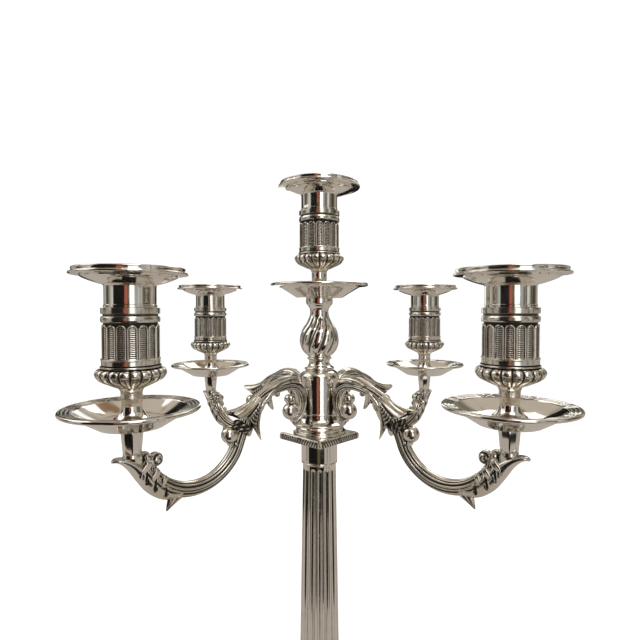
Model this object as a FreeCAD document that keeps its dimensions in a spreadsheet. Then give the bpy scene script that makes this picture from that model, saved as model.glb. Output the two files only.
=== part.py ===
import FreeCAD, Part
import math
import os
import re

import Sketcher

"""Tabletop candelabra: a column stand and a lift-off branch with four scroll arms and five lights.

Millimetres, +Z up, origin at the bottom centre of the base. X and Y run along the sides of the
square base; the arms point along +X (right), -Y (front), -X (left) and +Y (back). Each light is
drawn once about its own axis, and each arm once in the XZ plane; the rest are placed copies.
"""

Vector = FreeCAD.Vector
Z_AXIS = Vector(0, 0, 1)
Y_AXIS = Vector(0, 1, 0)

SIZES = {
    # base and its filling
    "base_side": 140,
    "base_lip": 1.2,
    "base_edge_height": 9,
    "base_height": 40,
    "plinth_side": 64,
    "base_wall": 1,
    "felt_side": 128,
    "felt_thick": 2,
    "plate_thick": 1.5,
    "nut_pocket_radius": 12,
    "nut_pocket_top": 14,
    # tie rod and its fasteners
    "tie_radius": 3,
    "tie_clearance": 0.2,
    "washer_radius": 9,
    "washer_thick": 1.2,
    "nut_radius": 5.5,
    "nut_height": 5,
    # column
    "column_top": 291.5,
    "foot_radius": 28.4,
    "foot_height": 17.6,
    "shaft_bottom_radius": 16,
    "shaft_top_radius": 12.7,
    "shaft_wall": 1.5,
    "flute_count": 16,
    "flute_radius": 2.1,
    "flute_depth": 0.75,
    "flute_margin": 4,
    "collar_height": 17,
    "collar_radius": 13.8,
    "abacus_side": 44,
    "abacus_thick": 6,
    "cup_radius": 11.1,
    "cup_bore_radius": 10.2,
    "cup_depth": 33,
    "cup_floor": 3,
    "cup_flange_radius": 14,
    "cup_flange_thick": 1.5,
    # spigot, sleeve and centre stack of the branch
    "seat_gap": 0.1,
    "spigot_radius": 9,
    "spigot_length": 28,
    "sleeve_clearance": 0.08,
    "sleeve_length": 24,
    "hub_foot_height": 15,
    "hub_foot_radius": 20.2,
    "hub_radius": 15,
    "hub_height": 32.5,
    "waist_height": 10.3,
    "pear_radius": 14.8,
    "pear_height": 31.7,
    "pear_neck_radius": 7.2,
    "knop_radius": 10.2,
    "knop_height": 14.2,
    # lights, from the underside of the pan
    "rod_radius": 2.5,
    "rod_clearance": 0.1,
    "screw_head_radius": 4.6,
    "screw_head_height": 3,
    "screw_depth": 11,
    "pan_radius": 37.1,
    "pan_rim": 8.4,
    "pan_floor_radius": 19.8,
    "pan_metal": 1.7,
    "stem_foot_radius": 10,
    "stem_radius": 5.7,
    "stem_top": 19.9,
    "socket_radius": 14.5,
    "socket_cup_radius": 18.4,
    "socket_ring_radius": 15.2,
    "socket_top": 64.4,
    "socket_bore_radius": 13,
    "socket_bore_floor": 41.5,
    "socket_screw_floor": 27,
    "socket_well_radius": 9.5,
    "nozzle_sleeve_radius": 12.92,
    "nozzle_sleeve_bottom": 42.4,
    "nozzle_tube_radius": 13.6,
    "nozzle_tube_top": 75.9,
    "nozzle_flange_radius": 31.3,
    "nozzle_rim_top": 84.8,
    "candle_radius": 11.75,
    "candle_mouth": 77.2,
    "candle_floor": 44.2,
    # arms, in the plane of an arm, from the axis and from the top of the column
    "arm_reach": 147,
    "side_pan_height": 31.4,
    "ring_reach": 32.4,
    "ring_height": 25.6,
    "ring_radius": 13.9,
    "strap_tip_radius": 2.5,
    "strap_radius": 4,
    "calyx_reach": 73.5,
    "calyx_height": 20.4,
    "calyx_radius": 11.4,
    "calyx_slope": 52,
    "bow_reach": 107.4,
    "bow_height": 19.2,
    "bow_radius": 33.6,
    "bow_strap_radius": 4.5,
    "bow_end_strap_radius": 4.9,
    "post_top_radius": 6.3,
    "post_bottom_radius": 4.9,
    "post_bottom": 14.5,
}

ARM_TURNS = {"right": 0, "front": -90, "left": 180, "back": 90}
POST_SIDES = 8

doc = FreeCAD.newDocument("Candelabra")
sheet = doc.addObject("Spreadsheet::Sheet", "Sizes")


def fill_sheet():
    """Writes the driving dimensions as plain numbers, one aliased cell each."""
    for row, (alias, value) in enumerate(SIZES.items(), start=1):
        sheet.set(f"A{row}", alias)
        sheet.set(f"B{row}", str(value))
        sheet.setAlias(f"B{row}", alias)
    doc.recompute()


def linked(expression):
    """The expression with each alias written as a cell of the sheet."""
    def cell(match):
        word = match.group(0)
        return f"Sizes.{word}" if word in SIZES else word
    return re.sub(r"[a-z_]+", cell, str(expression))


def number(expression):
    """What an expression over the sheet's aliases comes to."""
    return float(sheet.evalExpression(linked(expression)))


def bind(thing, **properties):
    """Binds properties of an object to expressions over the sheet."""
    for name, expression in properties.items():
        thing.setExpression(name, linked(expression))


def place(thing, reach=0, height=0, turn=0):
    """Puts a piece at a reach and height in the XZ plane, then turns it about +Z."""
    thing.Placement = FreeCAD.Placement(Vector(), FreeCAD.Rotation(Z_AXIS, turn))
    cosine = round(math.cos(math.radians(turn)), 9)
    sine = round(math.sin(math.radians(turn)), 9)
    thing.setExpression("Placement.Base.x", linked(f"({reach}) * ({cosine})"))
    thing.setExpression("Placement.Base.y", linked(f"({reach}) * ({sine})"))
    thing.setExpression("Placement.Base.z", linked(height))


def origin_feature(body, role):
    """One of a body's own origin planes or axes."""
    return next(item for item in body.Origin.OriginFeatures if item.Role == role)


# Outlines ------------------------------------------------------------------------------------
# A vertex is (across, up) or (across, up, bulge). A bulge bows the edge that leaves the vertex:
# it is the tangent of a quarter of the arc's angle, positive where the arc bows to the right of
# its travel, which is outwards on an outline that goes anticlockwise.


def arc_through(start, end, bulge):
    """The arc between two points whose rise over its chord is bulge times half the chord."""
    chord = end - start
    right = Vector(chord.y, -chord.x, 0)
    return Part.Arc(start, (start + end) * 0.5 + right * (bulge * 0.5), end)


def outline(sketch, vertices):
    """Draws a closed outline whose every vertex and arc radius is bound to the sheet."""
    points = [Vector(number(vertex[0]), number(vertex[1]), 0) for vertex in vertices]
    edges = []
    for index, vertex in enumerate(vertices):
        start, end = points[index], points[(index + 1) % len(points)]
        bulge = vertex[2] if len(vertex) > 2 else 0
        curve = arc_through(start, end, bulge) if bulge else Part.LineSegment(start, end)
        edge = sketch.addGeometry(curve)
        first = 1 if (sketch.getPoint(edge, 1) - start).Length < 1e-4 else 2
        edges.append((edge, first, 3 - first))
        if bulge:
            bind_arc(sketch, edge, vertex, vertices[(index + 1) % len(vertices)], bulge)
    for index, (edge, first, _) in enumerate(edges):
        before, _, last = edges[index - 1]
        sketch.addConstraint(Sketcher.Constraint("Coincident", before, last, edge, first))
        bind_point(sketch, edge, first, vertices[index], points[index])


def bind_point(sketch, edge, end, vertex, point):
    """Ties one end of an edge to its distances from the sketch's origin."""
    for kind, expression, value, axis in (("DistanceX", vertex[0], point.x, -2),
                                          ("DistanceY", vertex[1], point.y, -1)):
        if abs(value) < 1e-9:
            sketch.addConstraint(Sketcher.Constraint("PointOnObject", edge, end, axis))
            continue
        constraint = Sketcher.Constraint(kind, -1, 1, edge, end, value)
        sketch.setExpression(f"Constraints[{sketch.addConstraint(constraint)}]", linked(expression))


def bind_arc(sketch, edge, vertex, following, bulge):
    """Ties an arc's radius to its chord, which the sheet gives."""
    chord = f"sqrt((({following[0]}) - ({vertex[0]}))^2 + (({following[1]}) - ({vertex[1]}))^2)"
    ratio = (1 + bulge * bulge) / (4 * abs(bulge))
    radius = f"{chord} * {ratio:.9f}"
    constraint = Sketcher.Constraint("Radius", edge, number(radius))
    sketch.setExpression(f"Constraints[{sketch.addConstraint(constraint)}]", linked(radius))


# Pieces --------------------------------------------------------------------------------------


def turned(name, vertices):
    """A body turned about its own Z axis from one outline."""
    body = doc.addObject("PartDesign::Body", name)
    sketch = body.newObject("Sketcher::SketchObject", f"{name}_outline")
    sketch.AttachmentSupport = [(origin_feature(body, "XZ_Plane"), "")]
    sketch.MapMode = "FlatFace"
    outline(sketch, vertices)
    turning = body.newObject("PartDesign::Revolution", f"{name}_turning")
    turning.Profile = sketch
    turning.ReferenceAxis = (sketch, ["V_Axis"])
    turning.Angle = 360
    return body


def mirrored(vertices):
    """A half outline from axis to axis, closed with its own reflection."""
    left = []
    for index in range(len(vertices) - 2, 0, -1):
        vertex = vertices[index]
        bulge = vertices[index - 1][2] if len(vertices[index - 1]) > 2 else 0
        left.append((f"-({vertex[0]})", vertex[1], bulge))
    return list(vertices[1:-1]) + left


def mitred(name, side, vertices):
    """A piece that is square in plan, with one moulding on all four sides."""
    walls = []
    for across, turn in (("x", 0), ("y", 90)):
        sketch = doc.addObject("Sketcher::SketchObject", f"{name}_outline_{across}")
        upright = FreeCAD.Rotation(Vector(1, 0, 0), 90)
        sketch.Placement = FreeCAD.Placement(Vector(), FreeCAD.Rotation(Z_AXIS, turn) * upright)
        outline(sketch, mirrored(vertices))
        wall = doc.addObject("Part::Extrusion", f"{name}_wall_{across}")
        wall.Base = sketch
        wall.DirMode = "Normal"
        wall.Solid = True
        wall.Symmetric = True
        bind(wall, LengthFwd=side)
        walls.append(wall)
    return combined("Part::MultiCommon", f"{name}_block", walls)


def combined(kind, name, shapes):
    """A fusion or an intersection of several shapes."""
    result = doc.addObject(kind, name)
    result.Shapes = shapes
    result.Refine = False
    return result


def cut(name, base, tool):
    """The base with the tool's volume taken out."""
    result = doc.addObject("Part::Cut", name)
    result.Base = base
    result.Tool = tool
    result.Refine = False
    return result


def cylinder(name, radius, height, bottom=0):
    """An upright cylinder on the Z axis."""
    result = doc.addObject("Part::Cylinder", name)
    bind(result, Radius=radius, Height=height)
    place(result, 0, bottom)
    return result


def plate(name, side, thick, bottom):
    """A square plate centred on the Z axis."""
    result = doc.addObject("Part::Box", name)
    bind(result, Length=side, Width=side, Height=thick)
    result.setExpression("Placement.Base.x", linked(f"-({side}) / 2"))
    result.setExpression("Placement.Base.y", linked(f"-({side}) / 2"))
    result.setExpression("Placement.Base.z", linked(bottom))
    return result


def ball(name, reach, height, radius):
    """A ball in the plane of an arm."""
    result = doc.addObject("Part::Sphere", name)
    bind(result, Radius=radius)
    place(result, reach, height)
    return result


def roll(name, reach, height, radius, half_width):
    """A scroll's rolled end: a short cylinder across the plane of an arm."""
    result = doc.addObject("Part::Cylinder", name)
    result.Radius = radius
    result.Height = 2 * half_width
    centre = Vector(reach, half_width, height)
    result.Placement = FreeCAD.Placement(centre, FreeCAD.Rotation(Vector(1, 0, 0), 90))
    return result


def spike(name, root, tip, root_radius, tip_radius):
    """A tapering leaf tip between two points in the plane of an arm."""
    start = Vector(root[0], 0, root[1])
    along = Vector(tip[0], 0, tip[1]) - start
    result = doc.addObject("Part::Cone", name)
    result.Radius1 = root_radius
    result.Radius2 = tip_radius
    result.Height = along.Length
    result.Placement = FreeCAD.Placement(start, FreeCAD.Rotation(Z_AXIS, along))
    return result


def strap(name, stations):
    """A tapering strap through round sections: (reach, height, radius, slope), as expressions.

    The slope is the strap's heading in degrees, positive downwards from +X.
    """
    sections = []
    for index, (reach, height, radius, slope) in enumerate(stations):
        section = doc.addObject("Part::Circle", f"{name}_section_{index}")
        heading = FreeCAD.Rotation(Y_AXIS, 90 + slope)
        section.Placement = FreeCAD.Placement(Vector(), heading)
        section.setExpression("Placement.Base.x", linked(reach))
        section.setExpression("Placement.Base.z", linked(height))
        bind(section, Radius=radius)
        sections.append(section)
    result = doc.addObject("Part::Loft", name)
    result.Sections = sections
    result.Solid = True
    return result


def copy_of(master, name, reach=0, height=0, turn=0):
    """A body of its own that repeats a master shape somewhere else."""
    body = doc.addObject("PartDesign::Body", name)
    feature = body.newObject("PartDesign::FeatureBase", f"{name}_shape")
    feature.BaseFeature = master
    body.Tip = feature
    place(body, reach, height, turn)
    return body


# Base ----------------------------------------------------------------------------------------


def base_vertices(inset, bottom):
    """Half the base's moulding: upright edge, hollow slope, plinth; inset by a wall."""
    edge = f"base_side / 2 - {inset}"
    plinth = f"plinth_side / 2 - {inset}"
    return [
        (0, bottom),
        (edge, bottom),
        (edge, f"base_edge_height - {inset}"),
        (f"{edge} - 2.5", f"base_edge_height + 1.2 - {inset}"),
        (f"{edge} - 4", f"base_edge_height + 1.2 - {inset}", -0.27),
        (f"{plinth} + 5", f"base_height - 10 - {inset}"),
        (f"{plinth} + 5", f"base_height - 8 - {inset}", 0.3),
        (plinth, f"base_height - 5 - {inset}"),
        (plinth, f"base_height - {inset}"),
        (0, f"base_height - {inset}"),
    ]


def make_base():
    """Felt, closing plate, weighting filler and the stepped square shell."""
    felt = plate("base_felt", "felt_side", "felt_thick", 0)
    inner = "base_side - 2 * base_wall - 0.2"
    cover = plate("base_plate", inner, "plate_thick", "felt_thick")
    fill_bottom = "felt_thick + plate_thick"
    rod_hole = cylinder("base_rod_hole", "tie_radius + tie_clearance", "base_height")
    pocket = cylinder("base_nut_pocket", "nut_pocket_radius", "nut_pocket_top")
    hollow = mitred("base_hollow", "base_side", base_vertices("base_wall", "base_lip"))
    filler = mitred("base_filler", "base_side", base_vertices("base_wall", fill_bottom))
    room = combined("Part::MultiFuse", "base_room", [rod_hole, pocket])
    fill = cut("base_fill", filler, room)
    outer = mitred("base_outer", "base_side", base_vertices(0, "base_lip"))
    core = combined("Part::MultiFuse", "base_core", [hollow, rod_hole])
    shell = cut("base_shell", outer, core)
    return [felt, cover, fill, shell]


# Column --------------------------------------------------------------------------------------


def make_column():
    """Turned foot, fluted shaft, collar, abacus, the cup inside it and the tie rod."""
    hole = "tie_radius + tie_clearance"
    foot_top = "base_height + foot_height"
    foot = turned("column_foot", [
        (hole, "base_height"),
        ("foot_radius - 2.6", "base_height", 0.85),
        ("foot_radius - 2.6", "base_height + 6.4"),
        ("foot_radius - 4", "base_height + 6.4"),
        ("foot_radius - 4", "base_height + 7.6", -0.4),
        ("foot_radius - 8", "base_height + 11.4"),
        ("foot_radius - 8", "base_height + 12.2", 0.85),
        ("foot_radius - 8", "base_height + 15.6"),
        ("shaft_bottom_radius + 1.4", "base_height + 15.6"),
        ("shaft_bottom_radius + 1.4", foot_top),
        (hole, foot_top),
    ])
    return [foot, make_shaft(foot_top), make_collar(), make_abacus(), make_cup()]


def make_shaft(bottom):
    """The tapered tube, with round-ended flutes sunk along its slope."""
    top = "column_top - abacus_thick - collar_height"
    shaft = turned("column_shaft", [
        ("shaft_bottom_radius - shaft_wall", bottom),
        ("shaft_bottom_radius", bottom),
        ("shaft_top_radius", top),
        ("shaft_top_radius - shaft_wall", top),
    ])
    length = number(f"{top} - ({bottom}) - 2 * flute_margin")
    lean = math.atan2(number("shaft_bottom_radius - shaft_top_radius"), number(f"{top} - ({bottom})"))
    offset = number("flute_radius - flute_depth")
    margin = number("flute_margin")
    start = Vector(number("shaft_bottom_radius") + offset - margin * math.tan(lean), 0,
                   number(bottom) + margin)
    flute = shaft.newObject("PartDesign::SubtractiveCylinder", "column_flute")
    flute.Placement = FreeCAD.Placement(start, FreeCAD.Rotation(Y_AXIS, -math.degrees(lean)))
    bind(flute, Radius="flute_radius", Height=str(length / math.cos(lean)))
    flutes = shaft.newObject("PartDesign::PolarPattern", "column_flutes")
    flutes.Originals = [flute]
    flutes.Axis = (origin_feature(shaft, "Z_Axis"), [""])
    flutes.Angle = 360
    bind(flutes, Occurrences="flute_count")
    shaft.Tip = flutes
    return shaft


def make_collar():
    """The plain ring under the abacus, with a bead at its foot."""
    bottom = "column_top - abacus_thick - collar_height"
    bore = "cup_radius + tie_clearance"
    return turned("column_collar", [
        (bore, bottom),
        ("collar_radius - 0.7", bottom, 0.7),
        ("collar_radius - 0.7", f"{bottom} + 1.5"),
        ("collar_radius", f"{bottom} + 1.5"),
        ("collar_radius", "column_top - abacus_thick - 1"),
        ("collar_radius - 0.6", "column_top - abacus_thick"),
        (bore, "column_top - abacus_thick"),
    ])


def make_abacus():
    """The square cap, bored for the cup and sunk for its flange."""
    half = "abacus_side / 2"
    bottom = "column_top - abacus_thick"
    block = mitred("abacus_square", "abacus_side", [
        (0, bottom),
        (f"{half} - 2.4", bottom),
        (f"{half} - 2.4", f"{bottom} + 0.8", 0.25),
        (f"{half} - 0.4", "column_top - 1.6"),
        (half, "column_top - 1.6"),
        (half, "column_top"),
        (0, "column_top"),
    ])
    bore = cylinder("abacus_bore", "cup_radius + tie_clearance", "abacus_thick", bottom)
    sink = cylinder("abacus_sink", "cup_flange_radius + 0.1", "cup_flange_thick",
                    "column_top - cup_flange_thick")
    return cut("abacus", block, combined("Part::MultiFuse", "abacus_room", [bore, sink]))


def make_cup():
    """The turned cup in the column's head that takes the spigot and holds the tie rod."""
    floor = "column_top - cup_depth"
    return turned("column_cup", [
        ("tie_radius", f"{floor} - cup_floor"),
        ("cup_radius", f"{floor} - cup_floor"),
        ("cup_radius", "column_top - cup_flange_thick"),
        ("cup_flange_radius", "column_top - cup_flange_thick"),
        ("cup_flange_radius", "column_top"),
        ("cup_bore_radius + 0.6", "column_top"),
        ("cup_bore_radius", "column_top - 0.6"),
        ("cup_bore_radius", floor),
        ("tie_radius", floor),
    ])


def make_tie():
    """The rod from the cup's floor down to a washer and nut in the filler's pocket."""
    rod_bottom = "nut_pocket_top - washer_thick - nut_height - 1"
    rod = cylinder("tie_rod", "tie_radius", f"column_top - cup_depth - ({rod_bottom})", rod_bottom)
    washer_bottom = "nut_pocket_top - washer_thick"
    washer = turned("tie_washer", [
        ("tie_radius", washer_bottom),
        ("washer_radius", washer_bottom),
        ("washer_radius", "nut_pocket_top"),
        ("tie_radius", "nut_pocket_top"),
    ])
    hexagon = doc.addObject("Part::Prism", "tie_nut_hexagon")
    hexagon.Polygon = 6
    bind(hexagon, Circumradius="nut_radius", Height="nut_height")
    place(hexagon, 0, f"{washer_bottom} - nut_height")
    nut_hole = cylinder("tie_nut_hole", "tie_radius", "nut_height", f"{washer_bottom} - nut_height")
    return [rod, washer, cut("tie_nut", hexagon, nut_hole)]


# Branch, centre ------------------------------------------------------------------------------


def make_centre():
    """Spigot, sleeve, hub, spiral pear and knop, all clamped by one long rod."""
    hole = "rod_radius + rod_clearance"
    seat = "column_top + seat_gap"
    hub_bottom = "column_top + hub_foot_height"
    hub_top = f"{hub_bottom} + hub_height"
    pear_bottom = f"{hub_top} + waist_height"
    pear_top = f"{pear_bottom} + pear_height"
    knop_top = f"{pear_top} + knop_height"
    spigot = turned("branch_spigot", [
        (hole, f"{seat} - spigot_length"),
        ("spigot_radius - 1", f"{seat} - spigot_length"),
        ("spigot_radius", f"{seat} - spigot_length + 1"),
        ("spigot_radius", seat),
        (hole, seat),
    ])
    sleeve_bore = "spigot_radius + sleeve_clearance"
    sleeve_outside = "cup_bore_radius - sleeve_clearance"
    sleeve = turned("spigot_sleeve", [
        (sleeve_bore, "column_top - 2 - sleeve_length"),
        (sleeve_outside, "column_top - 2 - sleeve_length"),
        (sleeve_outside, "column_top - 2"),
        (sleeve_bore, "column_top - 2"),
    ])
    hub_foot = turned("hub_foot", [
        (hole, seat),
        ("hub_foot_radius - 0.7", seat),
        ("hub_foot_radius - 0.7", f"{seat} + 1.8", -0.5),
        ("hub_foot_radius - 0.9", f"{seat} + 5.4"),
        ("hub_foot_radius", f"{seat} + 6.6"),
        ("hub_foot_radius", f"{seat} + 8.6", -0.3),
        ("hub_radius + 0.3", hub_bottom),
        (hole, hub_bottom),
    ])
    hub_body = turned("hub_body", [
        (hole, hub_bottom),
        ("hub_radius", hub_bottom),
        ("hub_radius", f"{hub_top} - 5", 0.3),
        ("hub_radius - 4.6", hub_top),
        (hole, hub_top),
    ])
    waist = turned("baluster_foot", [
        (hole, hub_top),
        ("hub_radius - 4.6", hub_top, 0.5),
        ("hub_radius - 4.6", f"{hub_top} + 2.6"),
        ("hub_radius - 5.6", f"{hub_top} + 2.9", -0.35),
        ("hub_radius - 6.8", f"{hub_top} + 8"),
        ("hub_radius - 6.4", f"{hub_top} + 8", 0.8),
        ("hub_radius - 6.4", pear_bottom),
        (hole, pear_bottom),
    ])
    pear = turned("baluster", [
        (hole, pear_bottom),
        ("pear_neck_radius + 1", pear_bottom, 0.26),
        ("pear_radius", f"{pear_bottom} + 13.2", 0.16),
        ("pear_radius - 3.5", f"{pear_bottom} + 22.7", -0.13),
        ("pear_neck_radius", pear_top),
        (hole, pear_top),
    ])
    knop = turned("baluster_knop", [
        (hole, pear_top),
        ("pear_neck_radius", pear_top),
        ("pear_neck_radius", f"{pear_top} + 3", -0.3),
        ("knop_radius - 1.4", f"{pear_top} + 7.2", 0.7),
        ("knop_radius - 1", f"{pear_top} + 12.2", -0.2),
        ("knop_radius - 1.8", knop_top),
        (hole, knop_top),
    ])
    rod = clamp_screw("branch_rod", f"{knop_top} - ({seat} - spigot_length + 4)")
    place(rod, 0, knop_top)
    return [spigot, sleeve, hub_foot, hub_body, waist, pear, knop, rod], knop_top


def clamp_screw(name, reach_down):
    """A screw with its head on the socket's floor and its shank going down past the pan."""
    return turned(name, [
        (0, f"-({reach_down})"),
        ("rod_radius", f"-({reach_down})"),
        ("rod_radius", "socket_screw_floor"),
        ("screw_head_radius", "socket_screw_floor"),
        ("screw_head_radius", "socket_screw_floor + screw_head_height"),
        (0, "socket_screw_floor + screw_head_height"),
    ])


# Lights --------------------------------------------------------------------------------------


def make_light_masters():
    """The four pieces of a light, drawn about the Z axis from the underside of the pan."""
    hole = "rod_radius + rod_clearance"
    pan = turned("pan_master", [
        (hole, 0),
        ("pan_floor_radius", 0),
        ("pan_radius - 8", "pan_rim - 2.3"),
        ("pan_radius - 6.6", "pan_rim - 1.9"),
        ("pan_radius - 6.4", "pan_rim - 1.3"),
        ("pan_radius - 1.2", "pan_rim - 1.3", 0.85),
        ("pan_radius - 1.2", "pan_rim + 1.1"),
        ("pan_radius - 6", "pan_rim + 0.5"),
        ("pan_radius - 8", "pan_rim - 0.4"),
        ("pan_floor_radius - 0.6", "pan_metal"),
        (hole, "pan_metal"),
    ])
    stem = turned("stem_master", [
        (hole, "pan_metal"),
        ("stem_foot_radius", "pan_metal"),
        ("stem_foot_radius", "pan_metal + 1.5", -0.35),
        ("stem_radius", "stem_top - 8"),
        ("stem_radius", "stem_top - 3.4", -0.2),
        ("stem_radius + 1.9", "stem_top"),
        (hole, "stem_top"),
    ])
    ring = "socket_ring_radius"
    socket = turned("socket_master", [
        (hole, "stem_top"),
        ("stem_radius + 1.9", "stem_top"),
        ("socket_cup_radius - 3", "stem_top + 3.8", 0.2),
        ("socket_cup_radius", "stem_top + 8.1", 0.25),
        ("socket_cup_radius - 1.8", "stem_top + 10.6"),
        ("socket_cup_radius - 2.6", "stem_top + 10.6"),
        ("socket_cup_radius - 2.6", "stem_top + 12.8"),
        ("socket_radius - 0.2", "stem_top + 13.4"),
        ("socket_radius - 0.2", "stem_top + 16"),
        (ring, "stem_top + 16.4"),
        (ring, "stem_top + 18.6"),
        ("socket_radius", "stem_top + 19"),
        ("socket_radius", "socket_top - 5.6"),
        (f"{ring} - 0.3", "socket_top - 5.2"),
        (f"{ring} - 0.3", "socket_top - 3"),
        ("socket_radius", "socket_top - 2.8"),
        ("socket_radius", "socket_top - 2.4"),
        (ring, "socket_top - 2.1"),
        (ring, "socket_top"),
        ("socket_bore_radius", "socket_top"),
        ("socket_bore_radius", "socket_bore_floor"),
        ("socket_well_radius", "socket_bore_floor"),
        ("socket_well_radius", "socket_screw_floor"),
        (hole, "socket_screw_floor"),
    ])
    shoulder = "socket_top + seat_gap"
    tube = "nozzle_tube_radius"
    rim = "nozzle_flange_radius"
    nozzle = turned("nozzle_master", [
        (0, "nozzle_sleeve_bottom"),
        ("nozzle_sleeve_radius - 0.6", "nozzle_sleeve_bottom"),
        ("nozzle_sleeve_radius", "nozzle_sleeve_bottom + 0.6"),
        ("nozzle_sleeve_radius", shoulder),
        (tube, shoulder),
        (tube, "nozzle_tube_top", -0.3),
        (f"{tube} + 2", "nozzle_tube_top + 0.9"),
        (f"{rim} - 6.6", "nozzle_rim_top - 4.8"),
        (f"{rim} - 5.5", "nozzle_rim_top - 4.4"),
        (f"{rim} - 5.5", "nozzle_rim_top - 3"),
        (f"{rim} - 1", "nozzle_rim_top - 2.4", 0.7),
        (f"{rim} - 1", "nozzle_rim_top"),
        (f"{rim} - 5.5", "nozzle_rim_top - 0.6"),
        (f"{rim} - 7", "nozzle_rim_top - 2.4"),
        (f"{tube} + 2.4", "nozzle_tube_top + 3"),
        ("candle_radius + 1", "nozzle_tube_top + 1.7"),
        ("candle_radius", "candle_mouth"),
        ("candle_radius", "candle_floor"),
        (0, "candle_floor"),
    ])
    return {"pan": pan, "stem": stem, "socket": socket, "nozzle": nozzle}


def make_lights(centre_height):
    """Five lights: one over the centre and one over the end of each arm."""
    masters = make_light_masters()
    screw = clamp_screw("screw_master", "screw_depth")
    pieces = []
    screws = []
    side_height = "column_top + side_pan_height"
    for kind, master in masters.items():
        pieces.append(copy_of(master, f"{kind}_centre", 0, centre_height))
        for side, turn in ARM_TURNS.items():
            pieces.append(copy_of(master, f"{kind}_{side}", "arm_reach", side_height, turn))
    for side, turn in ARM_TURNS.items():
        screws.append(copy_of(screw, f"light_screw_{side}", "arm_reach", side_height, turn))
    group = doc.addObject("Part::Compound", "light_screws")
    group.Links = screws
    return pieces + [group]


# Arms ----------------------------------------------------------------------------------------


def ring_station(angle, radius):
    """A section of the inner curl, at an angle from +X about the curl's centre."""
    cosine, sine = (round(turn(math.radians(angle)), 9) for turn in (math.cos, math.sin))
    return (f"ring_reach + ring_radius * ({cosine})", f"ring_height + ring_radius * ({sine})",
            radius, 90 - angle)


def bow_station(angle, radius):
    """A section of the outer bow, at an angle from +X about the bow's centre."""
    cosine, sine = (round(turn(math.radians(angle)), 9) for turn in (math.cos, math.sin))
    return (f"bow_reach + bow_radius * ({cosine})", f"bow_height + bow_radius * ({sine})",
            radius, -(angle + 90))


def make_upper_scroll():
    """Inner curl against the hub, arch and the calyx it opens into."""
    slope = SIZES["calyx_slope"]
    band = strap("arch_strap", [
        ring_station(262, "strap_tip_radius"),
        ring_station(225, "strap_radius - 0.9"),
        ring_station(180, "strap_radius - 0.5"),
        ring_station(135, "strap_radius - 0.3"),
        ring_station(92, "strap_radius"),
        ("ring_reach + 11.6", "ring_height + 12.7", "strap_radius", 12),
        ("ring_reach + 21", "ring_height + 9.8", "strap_radius + 0.3", 24),
        ("ring_reach + 29", "ring_height + 5.2", "strap_radius + 1.5", 36),
        ("calyx_reach - 5.6", "calyx_height + 6.4", "strap_radius + 4", slope - 6),
        ("calyx_reach", "calyx_height", "calyx_radius", slope),
    ])
    scroll = combined("Part::MultiFuse", "upper_scroll_solid", [
        band,
        ball("arch_volute", "ring_reach - 2.1", "ring_height - 5.6", 5.7),
        ball("arch_bud", "ring_reach - 2.9", "ring_height + 2.4", 3.4),
        ball("arch_nub_inner", "ring_reach + 10", "ring_height + 8.3", 1.9),
        ball("arch_nub_outer", "ring_reach + 18.4", "ring_height + 5.4", 2.4),
        spike("arch_leaf_tip", (47, 41.5), (58.5, 41.4), 2.4, 0.9),
    ])
    hub = cylinder("hub_wall", "hub_radius", "hub_foot_height + hub_height")
    return cut("upper_scroll_master", scroll, hub)


def make_post():
    """The eight-sided tapering post under a pan."""
    ends = []
    for label, radius, height in (("bottom", "post_bottom_radius", "post_bottom"),
                                  ("top", "post_top_radius", "side_pan_height")):
        polygon = doc.addObject("Part::RegularPolygon", f"post_{label}")
        polygon.Polygon = POST_SIDES
        bind(polygon, Circumradius=radius)
        spin = FreeCAD.Rotation(Z_AXIS, 180 / POST_SIDES)
        polygon.Placement = FreeCAD.Placement(Vector(), spin)
        polygon.setExpression("Placement.Base.x", linked("arm_reach"))
        polygon.setExpression("Placement.Base.z", linked(height))
        ends.append(polygon)
    block = doc.addObject("Part::Loft", "post_block")
    block.Sections = ends
    block.Solid = True
    block.Ruled = True
    bore = doc.addObject("Part::Cylinder", "post_bore")
    bind(bore, Radius="rod_radius", Height="screw_depth + 1")
    place(bore, "arm_reach", "side_pan_height - screw_depth")
    return block, cut("post_master", block, bore)


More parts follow.
